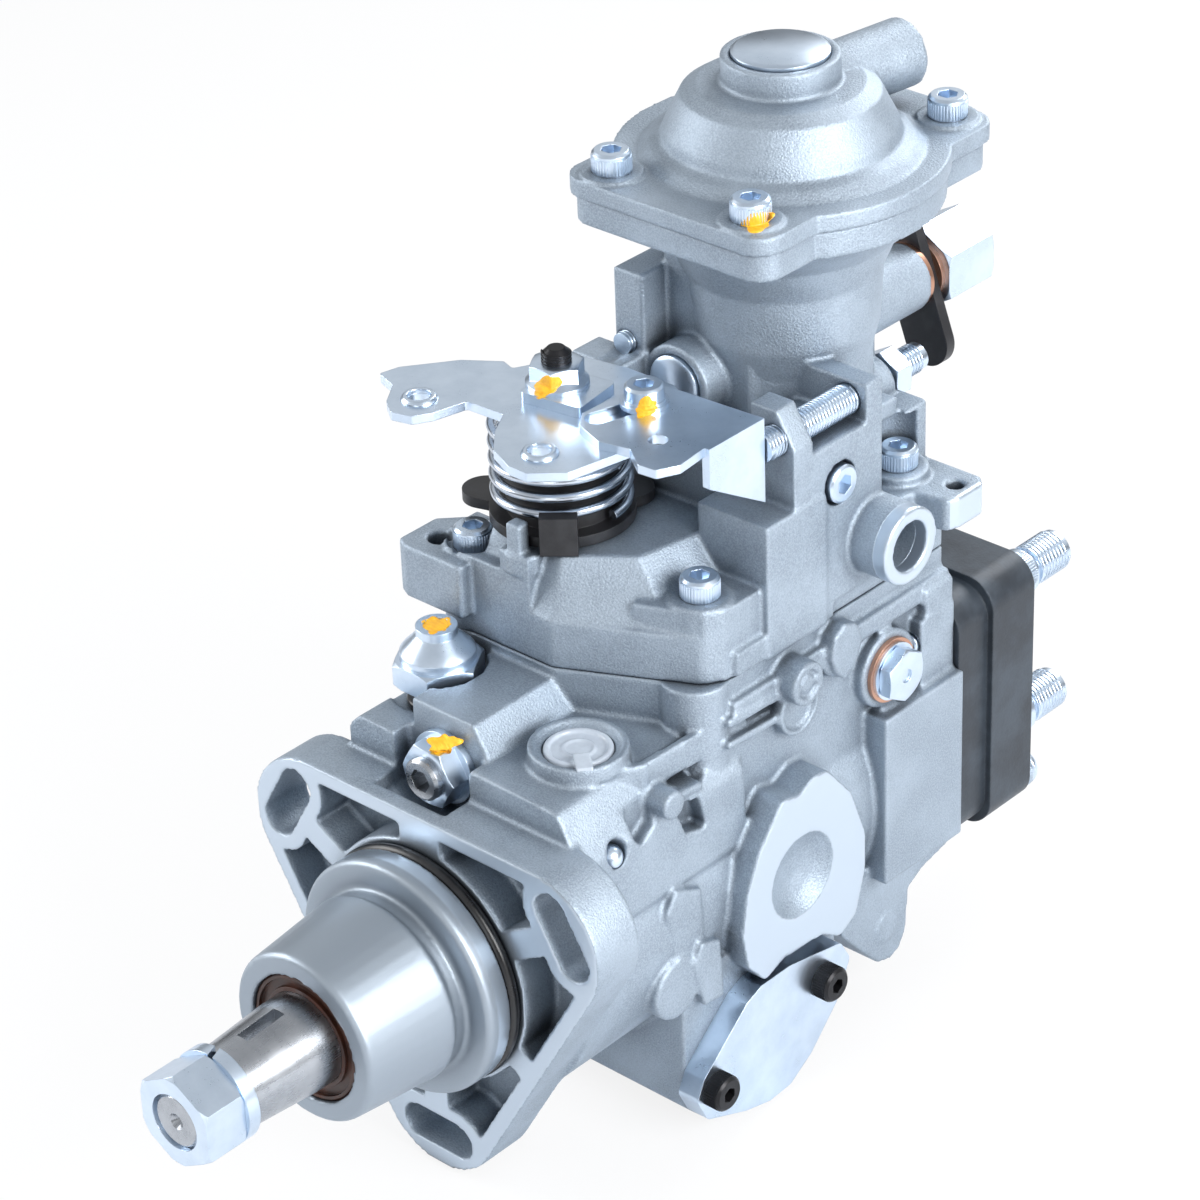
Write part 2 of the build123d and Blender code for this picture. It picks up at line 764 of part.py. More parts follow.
def governor_sleeve():
    """Cup that slides on the governor shaft, with a collar for the flyweights' fingers."""
    collar = carrier_start + carrier_length + 0.05
    sleeve = turned_y([(sleeve_start, sleeve_radius), (collar, sleeve_radius), (collar, sleeve_collar_radius),
                       (collar + sleeve_collar, sleeve_collar_radius), (collar + sleeve_collar, sleeve_radius - 1),
                       (sleeve_end - 2, sleeve_radius - 1), (sleeve_end, 5.2)], governor_x, governor_z)
    return sleeve - rod_y(governor_shaft_radius + running_gap, sleeve_start - 1, sleeve_end - sleeve_cap,
                          governor_x, governor_z)


def governor_shaft():
    shaft = turned_y([(governor_shaft_front, governor_thread_radius - 0.8),
                      (governor_shaft_front + 0.8, governor_thread_radius),
                      (gear_chamber_start - 4, governor_thread_radius),
                      (gear_chamber_start - 4, governor_shaft_radius),
                      (governor_shaft_end, governor_shaft_radius)], governor_x, governor_z)
    socket = along_y(Pos(governor_x, governor_z) * hexagon(6), governor_shaft_front - 1, governor_shaft_front + 5)
    return shaft - socket


def governor_nut():
    across = governor_nut_across_flats
    nut = hex_nut(across, governor_nut_length, governor_thread_radius + fit_gap)
    nut += Pos(0, 0, governor_nut_length - governor_nut_collar) * (
        Cylinder(governor_nut_collar_radius, governor_nut_collar, align=(Align.CENTER, Align.CENTER, Align.MIN))
        - Cylinder(governor_thread_radius + fit_gap, 50))
    return Plane(origin=(governor_x, governor_nut_seat - governor_nut_length, governor_z), x_dir=(1, 0, 0),
                 z_dir=(0, 1, 0)) * nut


def pilot_o_ring():
    ring = Torus(o_ring_radius, o_ring_wire)
    return set_on(ring, (0, -o_ring_wire - 0.05, 0), (0, 1, 0))


def shaft_bush():
    bush = rod_y(bush_radius, seal_end + 1, bush_end - 1)
    return bush - rod_y(shaft_radius + running_gap, seal_end, bush_end)


def feed_ring():
    """Eccentric ring that the vanes run in."""
    ring = rod_y(feed_ring_radius - fit_gap, feed_start, feed_end)
    return ring - rod_y(feed_bore_radius, feed_start - 1, feed_end + 1, feed_offset, 0)


def feed_rotor():
    rotor = rod_y(rotor_radius, feed_start + rotor_face_gap, feed_end - rotor_face_gap)
    rotor -= rod_y(rotor_bore_radius, feed_start - 1, feed_end + 1)
    for index in range(vane_count):
        slot = Pos(rotor_radius - vane_length / 2, 0, 0) * Box(vane_length + 0.8, vane_thickness + 0.1, feed_length + 2)
        rotor -= vane_plane(index) * slot
    return rotor


def vane_plane(index):
    """Plane in the middle of a vane: local X points outwards, local Z along +Y."""
    angle = math.radians(360 * index / vane_count)
    return Plane(origin=(0, feed_start + feed_length / 2, 0), x_dir=(math.cos(angle), 0, math.sin(angle)),
                 z_dir=(0, 1, 0))


def feed_vanes():
    """Four vanes, drawn in so that they clear the ring all the way round."""
    length = vane_length - 0.3
    vane = Pos(rotor_radius - 0.1 - length / 2, 0, 0) * Box(length, vane_thickness, feed_length - 2 * rotor_face_gap)
    return [vane_plane(index) * vane for index in range(vane_count)]


def feed_cover():
    cover = rod_y(feed_ring_radius - fit_gap, feed_end, feed_end + feed_cover_length)
    return cover - rod_y(rotor_bore_radius + 4, feed_end - 1, feed_end + feed_cover_length + 1)


def coupling_cross():
    """Loose cross between the shaft's claws and the cam plate's claws."""
    disc = rod_y(cross_radius, cross_start, cross_start + cross_length)
    disc -= rod_y(4, cross_start - 1, cross_start + cross_length + 1)
    window = Sketch()
    for middle in (0, 90, 180, 270):
        x1, z1 = polar(40, middle - claw_half_angle - 1.2)
        x2, z2 = polar(40, middle + claw_half_angle + 1.2)
        window += outline([(0, 0), (x1, z1), (x2, z2)])
    cut = along_y(window, cross_start - 1, cross_start + cross_length + 1)
    ring = rod_y(60, cross_start - 1, cross_start + cross_length + 1) - rod_y(
        claw_inner_radius - 0.2, cross_start - 2, cross_start + cross_length + 2)
    return disc - (cut & ring)


def roller_ring():
    ring = rod_y(roller_ring_radius, roller_ring_start, roller_ring_start + roller_ring_length)
    ring -= rod_y(roller_ring_bore, roller_ring_start - 1, roller_ring_start + roller_ring_length + 1)
    for index in range(roller_count):
        angle = 45 + 360 * index / roller_count
        pocket = Box(roller_length + 1, 2 * roller_radius + 0.6, 2 * roller_radius + 2)
        ring -= roller_plane(index) * pocket
    ring -= block((-60, 60), (roller_ring_start - 1, roller_axis_y + 1), (-60, -roller_ring_flat))
    middle = roller_ring_start + roller_ring_length / 2
    return ring + rod_z(pin_radius, -pin_reach, -roller_ring_flat + 1, 0, middle)


def roller_plane(index):
    """Plane at a roller's middle: local X points outwards, local Z along +Y."""
    angle = math.radians(45 + 360 * index / roller_count)
    return Plane(origin=(roller_circle_radius * math.cos(angle), roller_axis_y,
                         roller_circle_radius * math.sin(angle)),
                 x_dir=(math.cos(angle), 0, math.sin(angle)), z_dir=(0, 1, 0))


def rollers():
    pieces = []
    for index in range(roller_count):
        barrel = Rot(0, 90, 0) * Cylinder(roller_radius, roller_length)
        pieces.append(roller_plane(index) * barrel)
    return pieces


def cam_plate():
    """Disc with four lobes on its front face and claws for the cross."""
    plate = rod_y(cam_radius, cam_start + cam_lift, cam_end) - rod_y(3, cam_start - 1, cam_end + 1)
    for index in range(lobe_count):
        angle = 45 + 360 * index / lobe_count
        x1, z1 = polar(60, angle - 20)
        x2, z2 = polar(60, angle + 20)
        x3, z3 = polar(60, angle - 9)
        x4, z4 = polar(60, angle + 9)
        base = Plane(origin=(0, cam_start + cam_lift + 0.5, 0), x_dir=(1, 0, 0), z_dir=(0, -1, 0)) * outline(
            [(0, 0), (x1, z1), (x2, z2)])
        crown = Plane(origin=(0, cam_start, 0), x_dir=(1, 0, 0), z_dir=(0, -1, 0)) * outline(
            [(0, 0), (x3, z3), (x4, z4)])
        lobe = loft([base.face(), crown.face()])
        ring = rod_y(cam_radius, cam_start - 1, cam_end) - rod_y(cam_radius - 12, cam_start - 2, cam_end + 1)
        plate += lobe & ring
    claws = rod_y(cross_radius + 0.5, cross_start + cross_length - 5, cam_start + cam_lift + 1)
    claws -= rod_y(claw_inner_radius, cross_start, cam_end)
    keep = Sketch()
    for middle in (90, 270):
        x1, z1 = polar(40, middle - claw_half_angle)
        x2, z2 = polar(40, middle + claw_half_angle)
        keep += outline([(0, 0), (x1, z1), (x2, z2)])
    return plate + (claws & along_y(keep, claw_start, cam_end))


def plunger():
    body = turned_y([(cam_end, plunger_foot_radius), (cam_end + 3, plunger_foot_radius),
                     (cam_end + 3, plunger_radius), (plunger_end, plunger_radius)])
    body -= rod_y(1.5, spool_start + spool_length / 2, plunger_end + 1)
    body -= rod_z(1.2, -8, 8, 0, spool_start + spool_length / 2)
    return body


def spring_bridge():
    """Plate on the plunger's foot that both return springs push."""
    start = cam_end + 3
    plate = along_y(SlotOverall(2 * bridge_half_width + 4, 18), start, start + bridge_length)
    return plate - rod_y(plunger_radius + fit_gap, start - 1, start + bridge_length + 1)


def plunger_springs():
    start = cam_end + 3 + bridge_length
    return [coil(return_spring_radius, return_spring_wire, start, housing_rear - head_pilot_length,
                 return_spring_turns, "y", side * return_spring_offset, 0) for side in (-1, 1)]


def control_spool():
    groove = spool_start + (spool_length - spool_groove_width) / 2
    spool = turned_y([(spool_start, spool_radius), (groove, spool_radius), (groove, spool_groove_radius),
                      (groove + spool_groove_width, spool_groove_radius),
                      (groove + spool_groove_width, spool_radius), (spool_start + spool_length, spool_radius)])
    return spool - rod_y(plunger_radius + running_gap, spool_start - 1, spool_start + spool_length + 1)


def lever_y():
    return spool_start + spool_length / 2


def tension_lever():
    """Lever between the governor sleeve, its spring and the control spool, with its pivot pins."""
    y = lever_y()
    width = lever_width / 2
    x = governor_x
    low = spool_groove_radius + 1.5
    face = outline([(x - width, lever_pivot_z - 6), (x - width, 60), (x - 5, lever_top), (x + 5, lever_top),
                    (x + width, 60), (x + width + 6, lever_pivot_z - 4), (3, low + 6), (3, low + 2),
                    (-3, low + 2), (-3, lever_pivot_z - 8)])
    lever = along_y(face, y - lever_thickness / 2, y + lever_thickness / 2)
    lever += rod_z(lever_ball_radius, low - 1.2, low + 4, 0, y)
    lever += rod_x(3.6, x - width, x + width, y, lever_pivot_z)
    lever += rod_x(lever_pin_radius, -lever_pin_half, lever_pin_half, y, lever_pivot_z)
    nub_end = sleeve_end + 0.05 + lever_nub_radius
    lever += rod_y(lever_nub_radius, nub_end, y, governor_x, governor_z)
    return lever + Pos(governor_x, nub_end, governor_z) * Sphere(lever_nub_radius)


def governor_spring():
    return coil(governor_spring_radius, governor_spring_wire, lever_axis_y + lever_bore_radius + 0.3,
                lever_y() - lever_thickness / 2, governor_spring_turns, "y", governor_x, governor_spring_z)


def timing_piston():
    half = piston_length / 2
    piston = turned_x([(-half, timing_bore_radius - running_gap), (half, timing_bore_radius - running_gap)],
                      timing_axis_y, timing_axis_z)
    piston -= rod_x(piston_pocket_radius, -half - 1, -half + 14, timing_axis_y, timing_axis_z)
    hole = along_z(Pos(0, timing_axis_y) * SlotOverall(2 * (pin_radius + pin_gap) + 1, 2 * (pin_radius + pin_gap), 90),
                   timing_axis_z - 2, timing_axis_z + 20)
    return piston - hole


def timing_spring():
    start = -timing_face
    return coil(timing_spring_radius, timing_spring_wire, start, -piston_length / 2 + 14, timing_spring_turns,
                "x", 0, timing_axis_z, timing_axis_y)


def timing_cover(side):
    """Lozenge-shaped plate with two screws over one end of the timing bore."""
    points = [(74, -26.6), (86, -26.6), (108, -31), (112, -38), (106, -50), (95, -61), (86, -66.5), (77, -67),
              (67, -64.5), (51, -58), (47, -50), (50, -44), (68, -29)]
    start = timing_face if side > 0 else -timing_plate_face
    end = timing_plate_face if side > 0 else -timing_face
    plate = along_x(outline(points, 2.5), start, end)
    for y, z in timing_screws():
        plate -= rod_x(2.7, start - 1, end + 1, y, z)
    return plate


def timing_cover_screws():
    screws = []
    for side in (-1, 1):
        for y, z in timing_screws():
            screw = cap_screw(20, 2.5, 5.0, 5.4, 4.0)
            screws.append(set_on(screw, (side * timing_plate_face, y, z), (side, 0, 0)))
    return screws


def pressure_valve():
    """Feed pressure valve screwed into the front block: neck, hexagon, collar and centre sleeve."""
    body = turned([(34, valve_thread_radius), (valve_seat, valve_thread_radius), (valve_seat, 6.8), (58, 6.8)])
    body += Pos(0, 0, 58) * hex_nut(22, 7.0, 3)
    body += turned([(58, 3.5), (65, 3.5), (65, 10.2), (67.2, 10.2), (68.2, 9.4), (72, 5.6), (74.5, 5.6),
                    (74.5, 3.6), (73.5, 3.4), (58, 3.4)])
    return Pos(valve_x, valve_y, 0) * body


def pressure_valve_o_ring():
    return Pos(valve_x, valve_y, valve_seat + 1.2) * Torus(7.9, 1.1)


def inlet_cap():
    """Soft plug that closes the fuel inlet, with a pull tab."""
    radius = inlet_radius - 0.1
    cap = turned([(inlet_top - 11, radius), (inlet_top + 0.2, radius), (inlet_top + 0.8, radius - 0.3),
                  (inlet_top + 1.2, radius - 1.1)])
    cap += along_z(outline([(-3.5, -12.5), (3.5, -12.5), (4.5, -8), (-4.5, -8)], 1), inlet_top + 0.05, inlet_top + 0.8)
    return Pos(inlet_x, inlet_y, 0) * cap


def ball_plug():
    return Pos(ball_x, ball_y, ball_z) * Sphere(ball_radius)


def distributor_head():
    half = head_half_width
    body_points = [(-half, head_low), (half, head_low), (half, head_high), (-half, head_high)]
    front = outline([(x * 0.96, z * 0.96) for x, z in body_points], head_corner)
    rear = outline(body_points, head_corner)
    head = along_y(rear, head_step_y, head_rear) + along_y(front, housing_rear, head_step_y)
    head += rod_y(chamber_radius - running_gap, housing_rear - head_pilot_length, housing_rear + 1)
    head -= rod_y(barrel_radius, housing_rear - head_pilot_length - 1, head_rear + 1)
    for angle in outlet_angles:
        x, z = polar(outlet_circle_radius, angle)
        head -= rod_y(outlet_neck_radius, head_rear - outlet_seat_depth, head_rear + 1, x, z)
        head -= rod_y(valve_bore_radius, head_rear - outlet_seat_depth - valve_length, head_rear, x, z)
    for x in (-head_screw_x, head_screw_x):
        for z in (head_screw_z_low, head_screw_z_high):
            head -= rod_y(3.4, housing_rear - 1, head_rear + 1, x, z)
    return head


def distributor_barrel():
    barrel = turned_y([(barrel_start, barrel_radius), (head_rear, barrel_radius)])
    return barrel - rod_y(plunger_radius + running_gap, barrel_start - 1, head_rear + 1)


def head_plug():
    plug = turned_y([(plunger_end + 2, plunger_radius), (head_rear, plunger_radius), (head_rear, 13),
                     (head_rear + 2, 13)])
    nut = Plane(origin=(0, head_rear + 2, 0), x_dir=(1, 0, 0), z_dir=(0, 1, 0)) * along_z(
        hexagon(head_plug_hex), 0, 8)
    return plug + nut


def outlet_holder(angle):
    x, z = polar(outlet_circle_radius, angle)
    start = head_rear - outlet_seat_depth
    hex_start = head_rear + 1
    holder = turned_y([(start, outlet_neck_radius - fit_gap), (head_rear, outlet_neck_radius - fit_gap),
                       (head_rear, 8.0), (hex_start, 8.0)], x, z)
    nut = Plane(origin=(x, hex_start, z), x_dir=(1, 0, 0), z_dir=(0, 1, 0)) * along_z(
        hexagon(outlet_hex), 0, outlet_hex_length)
    thread_start = outlet_end - outlet_thread_length
    neck = turned_y([(hex_start + outlet_hex_length, outlet_neck_radius), (thread_start - 6, outlet_neck_radius),
                     (thread_start - 6, 5.0), (thread_start - 3, 5.0), (thread_start - 3, outlet_thread_radius),
                     (outlet_end - 1.4, outlet_thread_radius), (outlet_end, outlet_thread_radius - 1.4)], x, z)
    holder = holder + nut + neck
    bore = turned_y([(start - 1, valve_bore_radius), (start + 16, valve_bore_radius), (start + 16, outlet_bore_radius),
                     (outlet_end - 3.5, outlet_bore_radius), (outlet_end + 1, 4.0)], x, z)
    return holder - bore


def delivery_valve(angle):
    x, z = polar(outlet_circle_radius, angle)
    start = head_rear - outlet_seat_depth - valve_length
    return turned_y([(start, 2.0), (start + 3, 2.0), (start + 3, valve_radius), (start + valve_length, valve_radius),
                     (start + valve_length, 1.6), (start + valve_length + 5, 1.6)], x, z)


def head_screws():
    screws = []
    for x in (-head_screw_x, head_screw_x):
        for z in (head_screw_z_low, head_screw_z_high):
            screws.append(set_on(cap_screw(48), (x, head_rear, z), (0, 1, 0)))
    return screws


def boost_tower():
    """Square tower and round neck that carry the boost chamber, part of the governor cover."""
    tower = along_z(outline([(tower_left, tower_front), (10, tower_front), (tower_right, tower_front + 6),
                             (tower_right, tower_rear), (tower_left, tower_rear)], 2), cover_deck - 8, 160)
    neck = Pos(boost_x, boost_y, 0) * turned([(cover_deck - 8, 24), (124, 24), (132, 26), (148, 27), (158, 31),
                                              (boost_parting - boost_rim_drop, 42)])
    dish = along_z(boost_plate_outline(1.2), boost_parting - boost_rim_drop, boost_parting)
    return tower + neck + dish


def boost_plate_outline(inset=0.0):
    """Rim with four screw corners, bulging to both sides, as an (x, y) sketch."""
    plate = Rectangle(2 * (boost_ear_half_width - inset), 2 * (boost_reach - inset))
    plate = fillet(plate.vertices(), 8)
    return Pos(boost_x, boost_y) * (plate + Circle(boost_rim_radius - inset))


def boost_screw_places():
    return [(boost_x + sign_x * boost_screw_x, boost_y + sign_y * boost_screw_y)
            for sign_x in (-1, 1) for sign_y in (-1, 1)]


def cover_base():
    """Front and side walls of the governor cover with its sloping roof and the deck under the lever."""
    half = top_half_width - 0.3
    body = along_z(top_outline(0.3), parting_z, cover_front_top)
    ridge = outline([(-half, 56.4), (-half + 6, 50.7), (-14, 50.7), (-14, 70), (-half, 70)])
    body += along_z(ridge, parting_z, cover_ridge_top)
    lobe = outline([(20, 62), (half - 3, 69), (half, 74), (half, 90), (20, 96)])
    body += along_z(lobe, parting_z, cover_lobe_top)
    low = Plane.XY.offset(cover_front_top - 0.01) * outline([(-39, 51), (2, 51), (30, 66), (38, 120), (-39, 120)])
    high = Plane.XY.offset(cover_deck) * outline([(-30, 58), (0, 58), (16, 70), (26, 120), (-30, 120)])
    body += loft([low.face(), high.face()])
    body += rod_z(lever_boss_radius, cover_front_top, lever_boss_top, lever_axis_x, lever_axis_y)
    # Pedestal and square peg that the lever's spring hooks on
    body += block((-15.5, -5.5), (50.7, 58), (parting_z, cover_deck - 0.5))
    body += rod_z(5.6, cover_deck - 6, cover_deck, peg_x, peg_y + 2)
    return body + block((peg_x - 2.3, peg_x + 2.3), (peg_y - 2.2, peg_y + 2.2), (cover_deck - 2, cover_deck + 8.5))


def cover_rear():
    """Rear block with the posts of the stop screw, the rear screws' pads and the tab."""
    half = top_half_width - 0.3
    body = along_z(outline([(-half, 88), (half, 93.5), (half, housing_rear), (-half, housing_rear)], 2),
                   parting_z, rear_pad_z - 3)
    body += block((-30, 30), (100, 160), (parting_z + 10, 110))
    body += block((20, cover_step), (88.6, 113), (parting_z, 105.5))
    body += block((20, cover_step - 0.6), (100.4, 137), (parting_z + 5, pocket_floor))
    # Posts on both sides of the pocket, with their outer corners cut off
    post = outline([(29, pocket_floor - 4), (cover_step - 0.6, pocket_floor - 4), (cover_step - 0.6, post_chamfer_z),
                    (post_chamfer_x, post_top), (29, post_top)])
    body += along_y(post, 100.4, 108)
    body += along_y(outline([(20, 100), (cover_step - 0.6, 100), (cover_step - 0.6, 130), (20, 130)]), 130, 137)
    # Arm of the idle stop and the boss of the round plug, both on the tower's front
    body += block((-35, -18), (102, 113), (100, 127))
    body += block((tower_left - 8, tower_left + 2), (112, 132), (100, 150))
    body += rod_y(disc_radius + 2.8, 113, 125, disc_x, disc_z)
    body += rod_y(8.0, 150, 168, load_screw_x, load_screw_z)
    body += along_z(outline([(12, 160), (33, 160), (33, 170), (12, 170)], 2), rear_pad_z - 5, 106)
    tab = outline([(30, 150), (51.5, 154), (53, 158), (53, 168), (50, 171), (30, 171)], 2)
    body += along_z(tab, screw_pad_z - 9.5, screw_pad_z)
    return body + rod_y(10.0, 150, return_boss_end, return_axis_x, return_axis_z)


def cover_bosses():
    body = rod_x(11.0, 20, return_port_end, return_port_y, return_port_z)
    body += rod_x(9.5, 20, cover_step - 1, pivot_plug_y, pivot_plug_z)
    for x, y, pad in cover_screws:
        body += rod_z(8.5, parting_z, pad, x, y)
    ear = outline([(-50, 48), (-46, 46), (-26, 46), (-26, 68), (-44, 68), (-50, 62)], 1.5)
    return body + along_z(ear, 72, screw_pad_z)


def governor_cover():
    body = cover_base() + cover_rear() + cover_bosses() + boost_tower()
    body -= along_z(chamber_outline(gear_chamber_start + 1), parting_z - 1, cover_inner_top)
    # Bore of the boost pin and the chamber under the diaphragm
    body -= rod_z(9.0, cover_inner_top - 1, 150, boost_x, boost_y)
    body -= rod_z(boost_pin_radius + running_gap, 149, boost_parting, boost_x, boost_y)
    body -= rod_z(boost_cavity_radius, boost_parting - 7, boost_parting + 1, boost_x, boost_y)
    body -= rod_z(lever_bore_radius + running_gap, cover_inner_top - 2, lever_boss_top + 1, lever_axis_x, lever_axis_y)
    for x, y, pad in cover_screws:
        body -= rod_z(m6_radius + 0.3, parting_z - 1, pad + 1, x, y)
        body -= rod_z(7.0, pad, pad + 14, x, y)
    body -= rod_z(3.4, 70, 90, -41.5, 55)
    body -= rod_z(2.5, 74, 90, 47.5, 163)
    body -= rod_x(return_port_radius, 38, return_port_end + 1, return_port_y, return_port_z)
    body -= rod_x(4.0 + fit_gap, 24, cover_step + 3, pivot_plug_y, pivot_plug_z)
    body -= rod_x(6.2, cover_step - 4, cover_step + 3, pivot_plug_y, pivot_plug_z)
    body -= rod_y(stop_screw_radius + fit_gap, 90, 131.5, stop_screw_x, stop_screw_z)
    body -= rod_y(disc_radius + fit_gap, disc_front + 0.4, disc_front + 2.6, disc_x, disc_z)
    body -= rod_y(idle_screw_radius + fit_gap, 100, 133, idle_screw_x, idle_screw_z)
    body -= rod_y(load_screw_radius + fit_gap, 149, 175, load_screw_x, load_screw_z)
    body -= rod_y(6.0 + fit_gap, 176, return_boss_end + 1, return_axis_x, return_axis_z)
    for x, y in boost_screw_places():
        body -= rod_z(m6_radius + fit_gap, boost_parting - 12, boost_parting + 1, x, y)
    return body


def cover_cap_screws():
    """The socket screws of the governor cover and of the boost cover, all alike in their heads."""
    screws = [set_on(cap_screw(30), (x, y, pad), (0, 0, 1)) for x, y, pad in cover_screws]
    return screws + [set_on(cap_screw(17), (x, y, boost_pad_z), (0, 0, 1)) for x, y in boost_screw_places()]


def boost_cover():
    """Domed cover of the boost chamber with its centre boss and inlet tube."""
    plate = along_z(boost_plate_outline(), boost_parting, boost_pad_z - 1)
    dome = Pos(boost_x, boost_y, 0) * turned([
        (boost_parting, 38), (boost_pad_z - 1, 38), (boost_pad_z + 1.5, 35), (boost_pad_z + 3, boost_dome_radius),
        (boost_pad_z + 6, boost_dome_radius - 1), (197, boost_shoulder_radius), (199.5, boost_shoulder_radius - 4),
        (200, boost_boss_radius + 0.5), (200.5, boost_boss_radius), (boost_boss_top, boost_boss_radius)])
    tube_start = (boost_x, boost_y, boost_tube_z)
    tube = set_on(turned([(0, boost_tube_radius), (boost_tube_end, boost_tube_radius)]), tube_start, (0.14, 0.99, 0))
    cover = plate + dome + tube
    for x, y in boost_screw_places():
        cover += rod_z(8.4, boost_parting, boost_pad_z, x, y)
    cover -= Pos(boost_x, boost_y, 0) * turned([
        (boost_parting - 1, boost_cavity_radius), (boost_pad_z, boost_cavity_radius),
        (boost_pad_z + 4, 28.5), (192, 22), (196, 12), (boost_boss_top - 3, 12)])
    cover -= rod_z(boost_cavity_radius + 2, boost_parting - 1, boost_parting + diaphragm_thickness + 0.05,
                   boost_x, boost_y)
    cover -= rod_z(boost_disc_radius, boost_boss_top - 3, boost_boss_top + 3, boost_x, boost_y)
    cover -= set_on(turned([(16, boost_tube_bore), (boost_tube_end + 1, boost_tube_bore)]), tube_start, (0.14, 0.99, 0))
    for x, y in boost_screw_places():
        cover -= rod_z(m6_radius + 0.3, boost_parting - 1, boost_pad_z + 1, x, y)
        cover -= rod_z(6.6, boost_pad_z, boost_pad_z + 10, x, y)
    return cover


def boost_sealing_disc():
    disc = turned([(boost_boss_top - 3, boost_disc_radius - fit_gap), (boost_boss_top + 0.8, boost_disc_radius - fit_gap),
                   (boost_boss_top + 1.4, boost_disc_radius - 1.2)])
    return Pos(boost_x, boost_y, 0) * disc


def boost_diaphragm():
    """Rubber diaphragm held between the two covers, raised in its middle by the pin's plates."""
    t = diaphragm_thickness
    base = boost_parting + 0.02
    top = boost_plate_z + 0.05
    skin = turned([(base, boost_cavity_radius + 1.9), (base + t, boost_cavity_radius + 1.9), (base + t, 31),
                   (top + t, 25), (top + t, 0.1)])
    hollow = turned([(base - 1, 30), (base, 30), (top, 24), (top, 0.1)])
    return Pos(boost_x, boost_y, 0) * (skin - hollow - Cylinder(boost_pin_radius, 500))


def boost_pin():
    """Adjusting pin with its cone, and the plates above and below the diaphragm."""
    z = boost_plate_z
    top = z + 0.1 + diaphragm_thickness
    pin = turned([(boost_pin_bottom, boost_pin_radius - 2.4), (boost_pin_bottom + 4, boost_pin_radius - 1.4),
                  (150, boost_pin_radius), (z - 2, boost_pin_radius), (z - 2, boost_plate_radius),
                  (z, boost_plate_radius), (z, boost_pin_radius - 0.05), (top, boost_pin_radius - 0.05),
                  (top, boost_plate_radius - 3), (top + 1.5, boost_plate_radius - 3), (top + 1.5, 6), (top + 6, 6)])
    return Pos(boost_x, boost_y, 0) * pin


def boost_spring():
    return coil(13.0, 1.1, boost_parting - 7, boost_plate_z - 2, 3, "z", boost_x, 0, boost_y)


def return_fitting():
    """Hollow screw with a hexagon head that holds the return line's strap on the cover."""
    seat = return_boss_end + 6.4
    screw = turned([(176.5, 6.0), (seat, 6.0)])
    head = hex_nut(22, 20, 1.0)
    head = Plane(origin=(0, 0, seat), x_dir=(1, 0, 0), z_dir=(0, 0, 1)) * head
    return set_on(screw + head, (return_axis_x, 0, return_axis_z), (0, 1, 0))


def cap_strap():
    """Strap of the return line's cap, held under the hollow screw's head."""
    start = return_boss_end + 1.5
    strip = Pos(0, -4) * SlotOverall(46, 15, rotation=90)
    strap = along_y(Pos(return_axis_x, return_axis_z) * Rot(0, 0, 20) * strip, start, start + 3.4)
    return strap - rod_y(6.0 + fit_gap, start - 1, start + 5, return_axis_x, return_axis_z)


def copper_washers():
    ring = Cylinder(plug_boss_radius - 2.1, plug_washer, align=(Align.CENTER, Align.CENTER, Align.MIN))
    washers = [set_on(ring - Cylinder(plug_bore_radius, 10), (plug_boss_face, plug_y, plug_z), (1, 0, 0))]
    for start in (return_boss_end, return_boss_end + 4.9):
        washer = rod_y(9.6, start, start + 1.5, return_axis_x, return_axis_z)
        washers.append(washer - rod_y(6.0 + fit_gap, start - 1, start + 3, return_axis_x, return_axis_z))
    return washers


def stop_screws():
    """Speed stop screw, idle stop screw and full-load screw, the last with its lock nut."""
    screws = [rod_y(stop_screw_radius, 94.5, 131.0, stop_screw_x, stop_screw_z),
              rod_y(idle_screw_radius, 110.0, 132.0, idle_screw_x, idle_screw_z),
              rod_y(load_screw_radius, 151.0, 187.0, load_screw_x, load_screw_z)]
    nut = set_on(hex_nut(13, 6.5, load_screw_radius + fit_gap), (load_screw_x, 170.0, load_screw_z), (0, 1, 0))
    return screws + [nut]


def side_plugs():
    """Hexagon plug in the housing and the socket plug over the pivot in the cover."""
    plug = turned([(-8, plug_radius), (0, plug_radius), (0, 8.4), (1, 8.4)]) + Pos(0, 0, 1) * hex_nut(14, 4, 2)
    plug += Pos(0, 0, 1) * Cylinder(2.2, 3.4, align=(Align.CENTER, Align.CENTER, Align.MIN))
    socket = turned([(-12, 4.0), (0, 4.0), (0, 5.4), (4.4, 5.4), (5, 4.8)]) - along_z(hexagon(5), 1, 6)
    disc = turned_y([(disc_front, disc_radius - 1), (disc_front + 0.6, disc_radius), (disc_front + 2.6, disc_radius)],
                    disc_x, disc_z)
    return [disc, set_on(plug, (plug_boss_face + plug_washer, plug_y, plug_z), (1, 0, 0)),
            set_on(socket, (cover_step - 4 + 0.02, pivot_plug_y, pivot_plug_z), (1, 0, 0))]


def control_shaft():
    shaft = turned([(lever_shaft_bottom, lever_bore_radius), (lever_plate_z, lever_bore_radius),
                    (lever_plate_z, lever_stud_radius), (lever_shaft_top - 1.5, lever_stud_radius),
                    (lever_shaft_top, lever_stud_radius - 1.5)])
    return Pos(lever_axis_x, lever_axis_y, 0) * shaft


